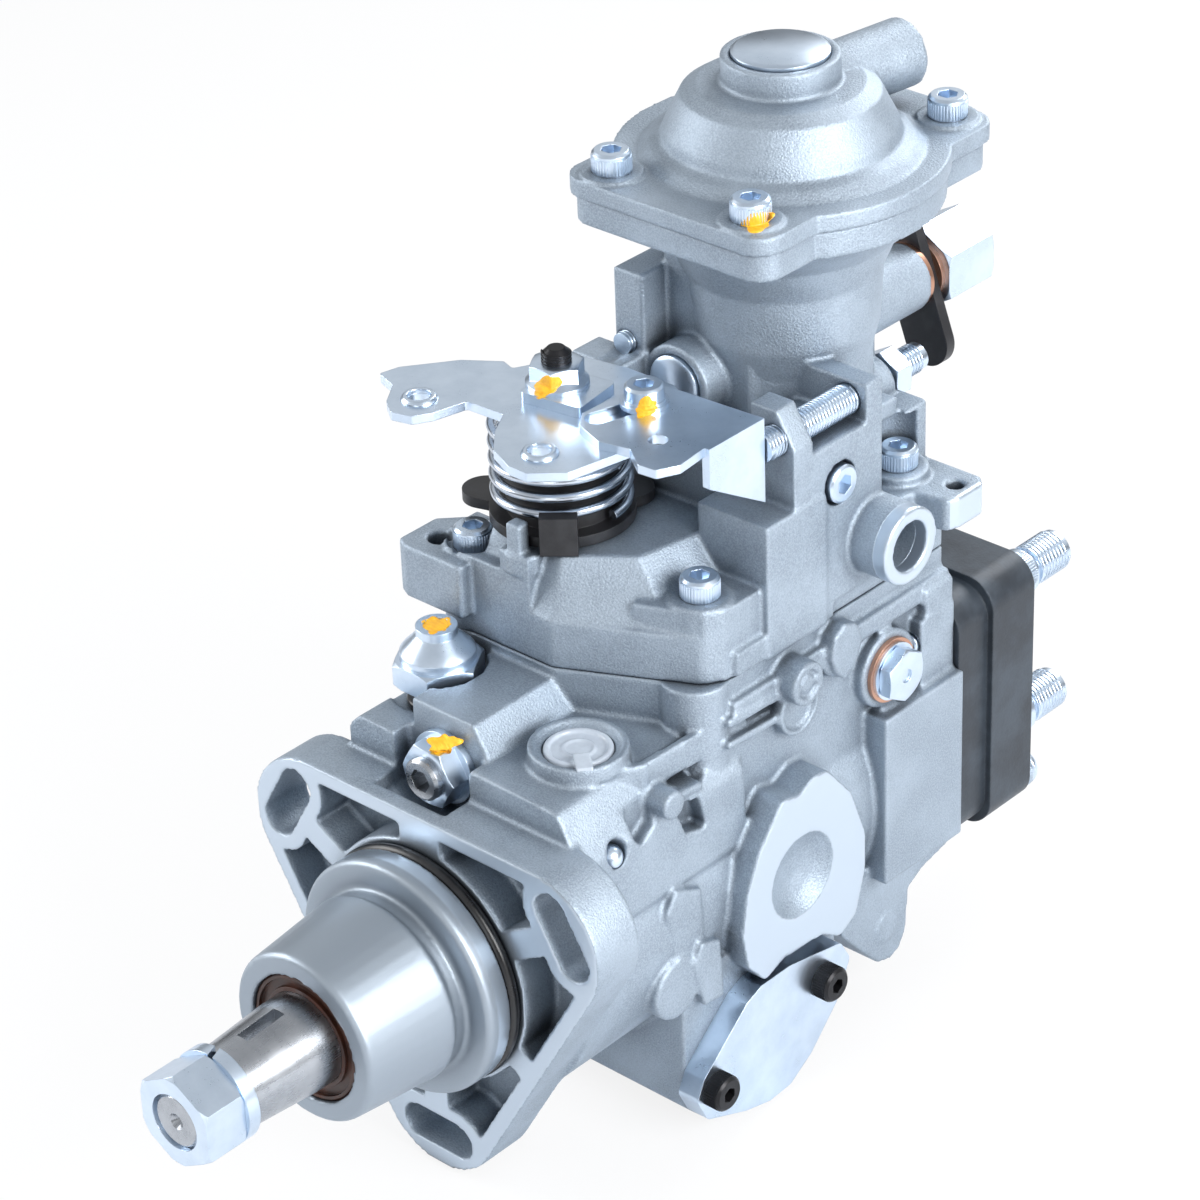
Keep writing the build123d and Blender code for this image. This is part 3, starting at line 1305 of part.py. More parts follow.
def spring_hub():
    """Black hub under the lever, with two lobes and a front stop, inside the return spring."""
    base = lever_boss_top + 0.06
    flange_top = base + hub_flange
    hub = turned([(base, hub_flange_radius), (flange_top, hub_flange_radius), (flange_top, hub_radius),
                  (hub_top, hub_radius)])
    for angle, reach in ((66, 15), (197, 18)):
        lobe = Rot(0, 0, angle) * Pos(reach, 0) * SlotOverall(22, 13)
        hub += along_z(lobe, base, flange_top)
    hub += Rot(0, 0, -50) * block((16, 23.5), (-5, 5), (base, flange_top))
    hub += Rot(0, 0, -50) * block((spring_radius + spring_wire + 0.5, 23.5), (-5, 5), (base, base + 11))
    hub -= Cylinder(lever_bore_radius + 0.1, 400)
    return Pos(lever_axis_x, lever_axis_y, 0) * hub


def return_spring():
    height = spring_turns * spring_pitch + 2 * spring_wire
    return coil(spring_radius, spring_wire, spring_bottom, spring_bottom + height, spring_turns, "z",
                lever_axis_x, 0, lever_axis_y)


def lever_plate():
    """Lower lever plate, clamped on the shaft's stud."""
    points = [(-59.5, 54), (-52, 51.5), (-47, 44), (-42, 40.5), (-36, 42), (-33, 47), (-30.5, 57), (-18, 57.5),
              (-13.5, 49.5), (-7, 42), (2, 38), (8, 38), (16, 45), (20, 64), (20, 90), (6, 97), (-10, 97), (-25, 94.5),
              (-34, 78), (-38.5, 79.5), (-48, 73), (-58, 60)]
    plate = along_z(outline(points, 1.0), lever_plate_z, lever_plate_z + lever_plate_thickness)
    for x, y, radius in ((lever_axis_x, lever_axis_y, lever_stud_radius + fit_gap), (-41.3, 50.4, 3.1),
                         (3.6, 47.9, 3.1), (clamp_x, clamp_y, m6_radius + fit_gap)):
        plate -= rod_z(radius, lever_plate_z - 1, lever_plate_z + 5, x, y)
    return plate


def lever_bracket():
    """Adjusting plate with a turned-down leg that meets the stop screw."""
    z = lever_plate_z + lever_plate_thickness
    top = z + lever_plate_thickness
    points = [(23, 60.5), (30, 55.5), (35.5, 56), (38.5, 62), (37.5, 71.5), (39, 94), (8, 92), (1, 80), (0.8, 67),
              (4.5, 62), (14, 58.5)]
    plate = along_z(outline(points, 1.0), z, top)
    leg = outline([(72.5, top), (72.5, 122.5), (94, 109.5), (94, top)])
    plate += along_x(leg, 36.5, 39)
    plate -= rod_z(2.6, z - 1, z + 5, 25.4, 68.4)
    slot = Pos(clamp_x - 2.0, clamp_y - 6.0) * SlotOverall(22, 2 * m6_radius + 0.6, rotation=72)
    return plate - along_z(slot, z - 1, z + 5)


def clamp_screw():
    """Screw that clamps the bracket on the lever plate."""
    top = lever_plate_z + 2 * lever_plate_thickness
    screw = cap_screw(14) + rod_z(6.4, 0, 1.2) + rod_z(5.6, 1, 2)
    return Pos(clamp_x, clamp_y, top) * screw


def lever_nut():
    """Square washer and flanged nut on the lever shaft's stud."""
    z = lever_plate_z + lever_plate_thickness
    washer = fillet(Rectangle(19, 17).vertices(), 1.5)
    washer = along_z(Pos(lever_axis_x + 3.5, lever_axis_y) * Rot(0, 0, 8) * washer, z, z + 3)
    washer -= rod_z(lever_stud_radius + fit_gap, z - 1, z + 4, lever_axis_x, lever_axis_y)
    nut = hex_nut(13, 6.5, lever_stud_radius + fit_gap)
    nut += turned([(0, 8.4), (1.2, 8.4), (2.6, 6.6)]) - Cylinder(lever_stud_radius + fit_gap, 50)
    return [washer, Pos(lever_axis_x, lever_axis_y, z + 3) * nut]


for name, pieces in (
        ("pump_housing", [housing()]), ("drive_shaft", [drive_shaft()]), ("shaft_nut", [shaft_nut()]),
        ("spring_washer", [spring_washer()]), ("shaft_seal", [shaft_seal()]),
        ("o_rings", [pilot_o_ring(), pressure_valve_o_ring()]),
        ("shaft_bush", [shaft_bush()]), ("feed_ring", [feed_ring()]), ("feed_rotor", [feed_rotor()]),
        ("feed_vanes", feed_vanes()), ("feed_cover", [feed_cover()]), ("shaft_gear", [shaft_gear()]),
        ("gear_dampers", gear_dampers()), ("flyweight_carrier", [flyweight_carrier()]),
        ("flyweights", [flyweight(index) for index in range(flyweight_count)]),
        ("governor_sleeve", [governor_sleeve()]), ("governor_shaft", [governor_shaft()]),
        ("governor_nut", [governor_nut()]), ("coupling_cross", [coupling_cross()]),
        ("roller_ring", [roller_ring()]), ("rollers", rollers()), ("cam_plate", [cam_plate()]),
        ("plunger", [plunger()]), ("spring_bridge", [spring_bridge()]), ("plunger_springs", plunger_springs()),
        ("control_spool", [control_spool()]), ("tension_lever", [tension_lever()]),
        ("governor_spring", [governor_spring()]), ("timing_piston", [timing_piston()]),
        ("timing_spring", [timing_spring()]), ("timing_covers", [timing_cover(1), timing_cover(-1)]),
        ("timing_cover_screws", timing_cover_screws()), ("pressure_valve", [pressure_valve()]),
        ("inlet_cap", [inlet_cap()]), ("ball_plug", [ball_plug()]), ("side_plugs", side_plugs()),
        ("copper_washers", copper_washers()), ("distributor_head", [distributor_head()]),
        ("distributor_barrel", [distributor_barrel()]), ("head_plug", [head_plug()]),
        ("outlet_holders", [outlet_holder(angle) for angle in outlet_angles]),
        ("delivery_valves", [delivery_valve(angle) for angle in outlet_angles]),
        ("head_screws", head_screws()), ("governor_cover", [governor_cover()]),
        ("cover_screws", cover_cap_screws()), ("boost_cover", [boost_cover()]),
        ("boost_sealing_disc", [boost_sealing_disc()]), ("boost_diaphragm", [boost_diaphragm()]),
        ("boost_pin", [boost_pin()]), ("boost_spring", [boost_spring()]), ("control_shaft", [control_shaft()]),
        ("spring_hub", [spring_hub()]), ("return_spring", [return_spring()]), ("lever_plate", [lever_plate()]),
        ("lever_bracket", [lever_bracket()]), ("lever_nut", lever_nut()), ("clamp_screw", [clamp_screw()]),
        ("stop_screws", stop_screws()), ("return_fitting", [return_fitting()]), ("cap_strap", [cap_strap()])):
    save(name, *pieces)
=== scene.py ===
"""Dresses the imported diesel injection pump: castings, threads, knurls, finishes, light and camera."""
from __future__ import annotations

import json
import logging
import math
import random
from dataclasses import dataclass
from enum import Enum
from itertools import product
from typing import Any, Iterable, Sequence

import bmesh
import bpy
from mathutils import Matrix, Vector
from mathutils.bvhtree import BVHTree

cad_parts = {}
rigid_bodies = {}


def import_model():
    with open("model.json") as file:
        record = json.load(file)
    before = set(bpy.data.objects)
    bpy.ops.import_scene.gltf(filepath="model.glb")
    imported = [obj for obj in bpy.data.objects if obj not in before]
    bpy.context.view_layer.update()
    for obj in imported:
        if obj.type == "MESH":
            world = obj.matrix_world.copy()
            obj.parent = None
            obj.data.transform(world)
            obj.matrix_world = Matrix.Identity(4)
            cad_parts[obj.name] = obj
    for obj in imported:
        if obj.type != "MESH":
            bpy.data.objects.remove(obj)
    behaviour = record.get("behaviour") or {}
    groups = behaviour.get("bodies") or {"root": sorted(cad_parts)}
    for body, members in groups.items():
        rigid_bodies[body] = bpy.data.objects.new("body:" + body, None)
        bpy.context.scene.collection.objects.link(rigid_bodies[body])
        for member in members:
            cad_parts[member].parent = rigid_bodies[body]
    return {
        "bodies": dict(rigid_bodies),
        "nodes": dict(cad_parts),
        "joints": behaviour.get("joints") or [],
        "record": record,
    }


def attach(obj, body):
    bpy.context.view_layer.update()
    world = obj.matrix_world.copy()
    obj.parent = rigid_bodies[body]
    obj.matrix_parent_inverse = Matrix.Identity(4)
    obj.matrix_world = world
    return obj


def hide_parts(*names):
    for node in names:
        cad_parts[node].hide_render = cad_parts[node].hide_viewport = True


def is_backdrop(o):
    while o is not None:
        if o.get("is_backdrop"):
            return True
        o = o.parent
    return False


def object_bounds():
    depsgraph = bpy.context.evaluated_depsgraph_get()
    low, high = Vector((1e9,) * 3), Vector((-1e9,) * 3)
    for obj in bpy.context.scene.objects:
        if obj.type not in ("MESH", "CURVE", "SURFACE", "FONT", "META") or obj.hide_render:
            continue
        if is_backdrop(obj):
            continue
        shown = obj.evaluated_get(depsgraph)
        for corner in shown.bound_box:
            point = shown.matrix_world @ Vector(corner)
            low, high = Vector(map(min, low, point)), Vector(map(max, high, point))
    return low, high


MM = 0.001
MM_IN_METRE = 1000.0
# Distances within which points are merged, in copies of CAD nodes and in new meshes
DOUBLES_MM = 0.004
SEAM_MM = 0.002
LOG = logging.getLogger("injection_pump")
Colour = tuple[float, float, float]
Place = tuple[float, float, float]
Pair = tuple[float, float]


class Body(str, Enum):
    """Bodies of the frame that dressed pieces ride on."""

    CASING = "casing"
    LEVER = "control_lever"


class Slot(str, Enum):
    """Material slots of the record that visible pieces use."""

    CASTING = "cast_aluminium"
    HEAD = "black_cast_iron"
    STEEL = "machined_steel"
    ZINC = "zinc_plated_steel"
    BLACK_STEEL = "black_steel"
    SPRING = "spring_steel"
    BRONZE = "bronze"
    COPPER = "copper"
    PISTON = "aluminium_piston"
    SEAL = "brown_seal"
    RUBBER = "black_rubber"
    BLACK_PLASTIC = "black_plastic"
    WHITE_PLASTIC = "white_plastic"


class Graph:
    """Node tree with one method that adds any node, sets it and joins its inputs."""

    def __init__(self, tree: bpy.types.NodeTree) -> None:
        """Keep the tree that the nodes go into."""
        self.tree = tree

    def node(self, kind: str, settings: dict[str, Any] | None = None,
             inputs: dict[Any, Any] | None = None) -> bpy.types.Node:
        """Add one node.

        Args:
            kind: Blender's type name of the node.
            settings: Its own settings, set before its sockets.
            inputs: Values, sockets or wires by socket name or number.

        Returns:
            The new node.
        """
        made = self.tree.nodes.new(kind)
        for name, value in (settings or {}).items():
            setattr(made, name, value)
        for key, value in (inputs or {}).items():
            self.feed(made.inputs[key], value)
        return made

    def feed(self, socket: bpy.types.NodeSocket, value: Any) -> None:
        """Give a socket a link or a plain value.

        Args:
            socket: Input of a node.
            value: Wire, output of a node, number or colour.
        """
        if isinstance(value, Wire):
            value = value.socket
        if isinstance(value, bpy.types.NodeSocket):
            self.tree.links.new(value, socket)
        elif socket.type == "RGBA" and len(value) == 3:
            socket.default_value = (*value, 1.0)
        else:
            socket.default_value = value


class Wire:
    """Output of a shader node that Python's operators join to others."""

    def __init__(self, graph: Graph, socket: bpy.types.NodeSocket) -> None:
        """Keep the graph and the socket."""
        self.graph = graph
        self.socket = socket

    def join(self, operation: str, first: Any, second: Any = 0.0) -> Wire:
        """Add a Math node.

        Args:
            operation: Blender's name of the operation.
            first: First number or wire.
            second: Second number or wire.

        Returns:
            The result's wire.
        """
        made = self.graph.node("ShaderNodeMath", {"operation": operation}, {0: first, 1: second})
        return Wire(self.graph, made.outputs[0])

    def __add__(self, other: Any) -> Wire:
        """Sum."""
        return self.join("ADD", self, other)

    __radd__ = __add__

    def __sub__(self, other: Any) -> Wire:
        """Difference."""
        return self.join("SUBTRACT", self, other)

    def __rsub__(self, other: Any) -> Wire:
        """Difference with the wire second."""
        return self.join("SUBTRACT", other, self)

    def __mul__(self, other: Any) -> Wire:
        """Product."""
        return self.join("MULTIPLY", self, other)

    __rmul__ = __mul__

    def at_most(self, other: Any) -> Wire:
        """Smaller of the two."""
        return self.join("MINIMUM", self, other)

    def size(self) -> Wire:
        """Value without its sign."""
        return self.join("ABSOLUTE", self)

    def rise(self, low: float, high: float) -> Wire:
        """Smooth step from 0 at low to 1 at high, or falling where low is the larger.

        Args:
            low: Value that gives 0.
            high: Value that gives 1.

        Returns:
            The step's wire.
        """
        inputs = {"Value": self, "From Min": min(low, high), "From Max": max(low, high)}
        made = self.graph.node("ShaderNodeMapRange", {"interpolation_type": "SMOOTHSTEP"}, inputs)
        step = Wire(self.graph, made.outputs[0])
        return step if low < high else 1.0 - step


class Paint(Graph):
    """Material with a Principled shader and the patterns that the finishes share."""

    ray_samples = 4

    def __init__(self, name: str) -> None:
        """Start an empty material of that name."""
        self.material = bpy.data.materials.new(name)
        self.material.use_nodes = True
        super().__init__(self.material.node_tree)
        self.tree.nodes.clear()
        self.end = self.node("ShaderNodeOutputMaterial")
        self.shader = self.node("ShaderNodeBsdfPrincipled")
        self.tree.links.new(self.shader.outputs[0], self.end.inputs[0])
        self.coords = self.node("ShaderNodeTexCoord").outputs["Object"]

    def axes(self) -> tuple[Wire, Wire, Wire]:
        """Object coordinates in millimetres, one wire for each axis."""
        apart = self.node("ShaderNodeSeparateXYZ", None, {0: self.coords})
        return tuple(Wire(self, out) * MM_IN_METRE for out in apart.outputs)

    def noise(self, scale: float, detail: float = 2.0, roughness: float = 0.5,
              stretch: Place | None = None) -> Wire:
        """Noise in object space.

        Args:
            scale: Noise cells in one metre.
            detail: Octaves.
            roughness: Weight of the finer octaves.
            stretch: Scale of each axis, where the pattern is drawn out.

        Returns:
            The noise between 0 and 1.
        """
        place: Any = self.coords
        if stretch:
            place = self.node("ShaderNodeMapping", None, {"Vector": place, "Scale": stretch}).outputs[0]
        inputs = {"Vector": place, "Scale": scale, "Detail": detail, "Roughness": roughness}
        return Wire(self, self.node("ShaderNodeTexNoise", None, inputs).outputs[0])

    def cells(self, scale: float) -> Wire:
        """Distance to the nearest cell point, for shot marks."""
        inputs = {"Vector": self.coords, "Scale": scale}
        return Wire(self, self.node("ShaderNodeTexVoronoi", {"feature": "F1"}, inputs).outputs[0])

    def mix(self, factor: Any, first: Any, second: Any) -> Wire:
        """Colour between two, by a factor; the node has its colours at sockets 6, 7 and 2."""
        made = self.node("ShaderNodeMix", {"data_type": "RGBA"}, {0: factor, 6: first, 7: second})
        return Wire(self, made.outputs[2])

    def soft_edges(self, radius_mm: float) -> bpy.types.NodeSocket:
        """Normal that rounds edges by a small radius."""
        settings = {"samples": self.ray_samples}
        return self.node("ShaderNodeBevel", settings, {"Radius": radius_mm * MM}).outputs[0]

    def openness(self, reach_mm: float) -> Wire:
        """How open a place is, which the casting uses to paint shade into its corners.

        Args:
            reach_mm: Distance within which surfaces count as near.

        Returns:
            1 in the open and 0 deep in a corner.
        """
        settings = {"samples": self.ray_samples}
        made = self.node("ShaderNodeAmbientOcclusion", settings, {"Distance": reach_mm * MM})
        return Wire(self, made.outputs["AO"])

    def turning(self, scale: float, distortion: float) -> Wire:
        """Rings about the shaft's axis, as a lathe leaves them.

        Args:
            scale: Rings in one metre, roughly.
            distortion: How far they waver.

        Returns:
            The pattern between 0 and 1.
        """
        made = self.node("ShaderNodeTexWave", {"wave_type": "RINGS", "rings_direction": "Y"},
                         {"Vector": self.coords, "Scale": scale, "Distortion": distortion})
        return Wire(self, made.outputs[1])

    def bump(self, height: Any, depth_mm: float, normal: Any) -> bpy.types.NodeSocket:
        """Normal from a height pattern over another normal.

        Args:
            height: Height between 0 and 1.
            depth_mm: Depth of the pattern.
            normal: Normal that it starts from.

        Returns:
            The new normal.
        """
        inputs = {"Height": height, "Distance": depth_mm * MM, "Strength": 1.0, "Normal": normal}
        return self.node("ShaderNodeBump", None, inputs).outputs[0]

    def finish(self, **values: Any) -> bpy.types.Material:
        """Set the shader's sockets.

        Args:
            values: Value or wire of each socket, by its name with underscores for spaces.

        Returns:
            The material.
        """
        for name, value in values.items():
            self.feed(self.shader.inputs[name.replace("_", " ")], value)
        return self.material


@dataclass(frozen=True)
class CastFinish:
    """Bead-blasted aluminium casting with bright machined faces and painted shade in its corners and hollows.
    """

    name: str = "bead_blasted_casting"
    blasted: Colour = (0.36, 0.42, 0.49)
    shaded: Colour = (0.28, 0.33, 0.39)
    bright: Colour = (0.47, 0.55, 0.63)
    machined: Colour = (0.54, 0.62, 0.71)
    nose: Colour = (0.31, 0.355, 0.405)
    # Painted shade: near-black colour that corners and hollows fade to, and the reach within which near
    # surfaces darken them
    crevice_painted_shade: Colour = (0.07, 0.085, 0.105)
    painted_shade_reach_mm: float = 7.0
    edge_mm: float = 0.7
    grain_mm: float = 0.16
    turned_mm: float = 0.004
    cloud_scale: float = 55.0
    grain_scale: float = 1900.0
    shot_scale: float = 1500.0
    turned_scale: float = 900.0
    pad_faces_mm: Pair = (51.8, 51.95)
    pads_behind_mm: Pair = (30.0, 32.0)
    flange_face_mm: Pair = (0.3, 0.1)
    nose_root_mm: Pair = (-0.2, -0.6)
    nose_end_mm: Pair = (-8.0, -9.0)

    def machined_mask(self, paint: Paint) -> Wire:
        """Where the casting was turned or milled after casting.

        Args:
            paint: Material that the mask is built in.

        Returns:
            1 on machined faces and 0 on cast ones.
        """
        x, y, _ = paint.axes()
        pads = x.size().rise(*self.pad_faces_mm) * y.rise(*self.pads_behind_mm)
        nose = y.rise(*self.nose_root_mm)
        face = y.rise(*self.flange_face_mm)
        return (pads + nose + face).at_most(1.0)

    def build(self) -> bpy.types.Material:
        """Make the material."""
        paint = Paint(self.name)
        mask = self.machined_mask(paint)
        nose = paint.axes()[1].rise(*self.nose_end_mm)
        cloud = paint.noise(self.cloud_scale, detail=4.0, roughness=0.6)
        grain = paint.noise(self.grain_scale, detail=3.0, roughness=0.75)
        shot = paint.cells(self.shot_scale)
        cast = paint.mix(cloud.rise(0.35, 0.7), self.shaded, self.blasted)
        cast = paint.mix(grain.rise(0.35, 0.68) * 0.6, cast, self.bright)
        colour = paint.mix(mask, cast, self.machined)
        colour = paint.mix(nose * 0.85, colour, self.nose)
        # Painted shade: ambient occlusion darkens corners and hollows towards the near-black colour
        colour = paint.mix(paint.openness(self.painted_shade_reach_mm).rise(0.15, 0.95), self.crevice_painted_shade, colour)
        rings = paint.turning(self.turned_scale, 0.6)
        soft = paint.soft_edges(self.edge_mm)
        rough = paint.bump((grain * 0.8 + shot * 0.5) * (1.0 - mask), self.grain_mm, soft)
        turned = paint.bump(rings * mask, self.turned_mm, rough)
        return paint.finish(Base_Color=colour, Metallic=0.85, Normal=turned,
                            Roughness=0.53 - mask * 0.24 + nose * 0.14 + cloud * 0.06)


@dataclass(frozen=True)
class MetalFinish:
    """Plain or plated metal with clouds, fine grain and soft edges."""

    name: str
    light: Colour
    dark: Colour
    roughness: float
    spread: float = 0.1
    edge_mm: float = 0.25
    grain_mm: float = 0.01
    grain_scale: float = 1800.0
    cloud_scale: float = 90.0
    stretch: Place | None = None
    metallic: float = 1.0

    def build(self) -> bpy.types.Material:
        """Make the material."""
        paint = Paint(self.name)
        cloud = paint.noise(self.cloud_scale, detail=4.0, roughness=0.62)
        grain = paint.noise(self.grain_scale, detail=3.0, roughness=0.6, stretch=self.stretch)
        colour = paint.mix(cloud.rise(0.3, 0.72), self.dark, self.light)
        normal = paint.bump(grain, self.grain_mm, paint.soft_edges(self.edge_mm))
        rough = (grain - 0.5) * self.spread + (cloud - 0.5) * self.spread + self.roughness
        return paint.finish(Base_Color=colour, Metallic=self.metallic, Roughness=rough, Normal=normal)


@dataclass(frozen=True)
class SoftFinish:
    """Rubber or plastic with a fine grain."""

    name: str
    light: Colour
    dark: Colour
    roughness: float
    grain_mm: float = 0.02
    grain_scale: float = 1500.0
    cloud_scale: float = 160.0
    edge_mm: float = 0.3

    def build(self) -> bpy.types.Material:
        """Make the material."""
        paint = Paint(self.name)
        cloud = paint.noise(self.cloud_scale, detail=3.0, roughness=0.6)
        grain = paint.noise(self.grain_scale, detail=3.0, roughness=0.6)
        colour = paint.mix(cloud.rise(0.35, 0.7), self.dark, self.light)
        normal = paint.bump(grain, self.grain_mm, paint.soft_edges(self.edge_mm))
        return paint.finish(Base_Color=colour, Roughness=(cloud - 0.5) * 0.14 + self.roughness, Normal=normal)


@dataclass(frozen=True)
class PaintDabFinish:
    """Thick marking paint with a brushed surface."""

    name: str = "marking_paint"
    dark: Colour = (0.80, 0.36, 0.01)
    light: Colour = (0.93, 0.52, 0.03)
    streak_scale: float = 500.0
    streak_mm: float = 0.12
    stretch: Place = (1.0, 3.0, 1.0)
    edge_mm: float = 0.2

    def build(self) -> bpy.types.Material:
        """Make the material."""
        paint = Paint(self.name)
        streak = paint.noise(self.streak_scale, detail=3.0, roughness=0.6, stretch=self.stretch)
        colour = paint.mix(streak.rise(0.3, 0.7), self.dark, self.light)
        normal = paint.bump(streak, self.streak_mm, paint.soft_edges(self.edge_mm))
        return paint.finish(Base_Color=colour, Roughness=streak * 0.2 + 0.3, Normal=normal)


class Finishes:
    """All finishes, made once and looked up by the record's slot."""

    def __init__(self) -> None:
        """Build every material."""
        recipes = {
            Slot.CASTING: CastFinish(),
            Slot.HEAD: MetalFinish("oiled_dark_steel", (0.052, 0.066, 0.084), (0.026, 0.032, 0.041), 0.44,
                                   spread=0.2, edge_mm=0.8, grain_mm=0.05, grain_scale=1100.0,
                                   cloud_scale=70.0, metallic=0.35),
            Slot.STEEL: MetalFinish("ground_steel", (0.46, 0.48, 0.51), (0.35, 0.37, 0.40), 0.28,
                                    edge_mm=0.2, grain_mm=0.004, grain_scale=1500.0,
                                    stretch=(1.0, 0.12, 1.0)),
            Slot.ZINC: MetalFinish("zinc_plate", (0.68, 0.78, 0.90), (0.59, 0.69, 0.81), 0.29,
                                   spread=0.06, edge_mm=0.3, grain_mm=0.003),
            Slot.BLACK_STEEL: MetalFinish("black_oxide", (0.022, 0.022, 0.025), (0.010, 0.010, 0.012), 0.38,
                                          edge_mm=0.3, grain_scale=1500.0, metallic=0.6),
            Slot.SPRING: MetalFinish("bright_wire", (0.62, 0.67, 0.74), (0.48, 0.53, 0.60), 0.22),
            Slot.BRONZE: MetalFinish("bearing_bronze", (0.60, 0.42, 0.20), (0.46, 0.30, 0.14), 0.4),
            Slot.COPPER: MetalFinish("plain_copper", (0.66, 0.38, 0.27), (0.52, 0.28, 0.19), 0.34),
            Slot.PISTON: MetalFinish("turned_aluminium", (0.66, 0.67, 0.70), (0.58, 0.59, 0.62), 0.3),
            Slot.SEAL: SoftFinish("brown_rubber", (0.075, 0.022, 0.010), (0.035, 0.011, 0.006), 0.42),
            Slot.RUBBER: SoftFinish("black_rubber", (0.016, 0.017, 0.019), (0.008, 0.008, 0.009), 0.30),
            Slot.BLACK_PLASTIC: SoftFinish("moulded_black", (0.020, 0.020, 0.023), (0.009, 0.009, 0.011),
                                           0.45),
            Slot.WHITE_PLASTIC: SoftFinish("milky_plastic", (0.50, 0.56, 0.63), (0.42, 0.47, 0.54), 0.22,
                                           grain_mm=0.004),
        }
        self.made = {slot: recipe.build() for slot, recipe in recipes.items()}
        self.paint = PaintDabFinish().build()

    def of(self, slot: Slot) -> bpy.types.Material:
        """Material of a slot."""
        return self.made[slot]


def shown(name: str, data: Any) -> bpy.types.Object:
    """Add an object to the scene.

    Args:
        name: Its name.
        data: Mesh, lamp or camera that it holds.

    Returns:
        The new object.
    """
    made = bpy.data.objects.new(name, data)
    bpy.context.scene.collection.objects.link(made)
    return made


class Shop:
    """Frame, finishes and the last steps that every new piece shares."""

    def __init__(self, frame: dict[str, Any]) -> None:
        """Keep the frame and read which slot each node has."""
        self.frame = frame
        self.finishes = Finishes()
        parts = frame["record"]["subparts"]
        self.slots = {part["node"]: Slot(part["material_slot"]) for part in parts}

    def place(self, name: str, mesh: bpy.types.Mesh, body: str, slot: Slot | None,
              material: bpy.types.Material | None = None, replaced: Sequence[str] = ()) -> bpy.types.Object:
        """Put a finished mesh in the scene.

        Args:
            name: Name of the piece.
            mesh: Its mesh, already in place.
            body: Body that it rides on.
            slot: Record slot that it takes its finish from, if any.
            material: Material, where it isn't the slot's own.
            replaced: Nodes of the frame that it stands for.

        Returns:
            The new object.
        """
        piece = shown(name, mesh)
        mesh.materials.clear()
        mesh.materials.append(material or self.finishes.of(slot))
        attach(piece, body)
        if replaced:
            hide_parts(*replaced)
        LOG.info("%s: %d faces on %s", name, len(mesh.polygons), body)
        return piece

    def baked(self, piece: bpy.types.Object) -> bpy.types.Mesh:
        """Apply an object's modifiers and remove it.

        Args:
            piece: Temporary object.

        Returns:
            The plain mesh that its modifiers give.
        """
        graph = bpy.context.evaluated_depsgraph_get()
        mesh = bpy.data.meshes.new_from_object(piece.evaluated_get(graph))
        bpy.data.objects.remove(piece)
        return mesh

    def loose(self, mesh: bpy.types.Mesh) -> bpy.types.Object:
        """Temporary object for modifiers."""
        return shown("loose", mesh)

    def merged(self, node: str) -> bpy.types.Mesh:
        """Copy a node's mesh and merge its doubles.

        Args:
            node: Name of a node of the frame.

        Returns:
            The copy.
        """
        mesh = self.frame["nodes"][node].data.copy()
        work = bmesh.new()
        work.from_mesh(mesh)
        bmesh.ops.remove_doubles(work, verts=work.verts, dist=DOUBLES_MM * MM)
        work.to_mesh(mesh)
        work.free()
        return mesh

    def united(self, piece: bpy.types.Object, voxel_mm: float, rounds: int) -> bpy.types.Mesh:
        """Unite the shells of a piece by voxels and smooth what comes out.

        Args:
            piece: Temporary object, which is removed.
            voxel_mm: Size of the voxels.
            rounds: Rounds of smoothing.

        Returns:
            The mesh.
        """
        remesh = piece.modifiers.new("voxels", "REMESH")
        remesh.mode = "VOXEL"
        remesh.voxel_size = voxel_mm * MM
        smooth = piece.modifiers.new("soft", "SMOOTH")
        smooth.iterations = rounds
        return self.baked(piece)


@dataclass(frozen=True)
class Form:
    """Straight prism of a casting's detail: an outline drawn out along one axis."""

    axis: str
    outline_mm: tuple[Pair, ...]
    start_mm: float
    end_mm: float

    def point(self, first: float, second: float, along: float) -> Place:
        """Place of an outline's point in metres.

        Args:
            first: Its first value, along the first of the other two axes.
            second: Its second value.
            along: Its place along the form's own axis.

        Returns:
            The place.
        """
        order = {"x": (along, first, second), "y": (first, along, second), "z": (first, second, along)}
        return tuple(value * MM for value in order[self.axis])

    def add_to(self, work: bmesh.types.BMesh) -> None:
        """Add the closed prism to a mesh.

        Args:
            work: Mesh that is being built.
        """
        low = [work.verts.new(self.point(u, v, self.start_mm)) for u, v in self.outline_mm]
        high = [work.verts.new(self.point(u, v, self.end_mm)) for u, v in self.outline_mm]
        faces = [work.faces.new(low), work.faces.new(high)]
        for index, corner in enumerate(low):
            following = (index + 1) % len(low)
            faces.append(work.faces.new((corner, low[following], high[following], high[index])))
        bmesh.ops.recalc_face_normals(work, faces=faces)


@dataclass(frozen=True)
class Turned(Form):
    """Closed profile of (place along the axis, radius) points turned into a ring."""

    centre_mm: Pair = (0.0, 0.0)
    spokes: int = 64

    def add_to(self, work: bmesh.types.BMesh) -> None:
        """Add the closed ring to a mesh.

        Args:
            work: Mesh that is being built.
        """
        loops = []
        for spoke in range(self.spokes):
            turn = 2 * math.pi * spoke / self.spokes
            loops.append([work.verts.new(self.point(*around(self.centre_mm, radius, turn), along))
                          for along, radius in self.outline_mm])
        faces = []
        for spoke, loop in enumerate(loops):
            beside = loops[(spoke + 1) % self.spokes]
            for index, corner in enumerate(loop):
                following = (index + 1) % len(loop)
                faces.append(work.faces.new((corner, loop[following], beside[following], beside[index])))
        bmesh.ops.recalc_face_normals(work, faces=faces)


def around(centre: Pair, reach: float, turn: float) -> Pair:
    """Point of a plane at a distance and an angle, in radians, from a centre."""
    return centre[0] + reach * math.cos(turn), centre[1] + reach * math.sin(turn)


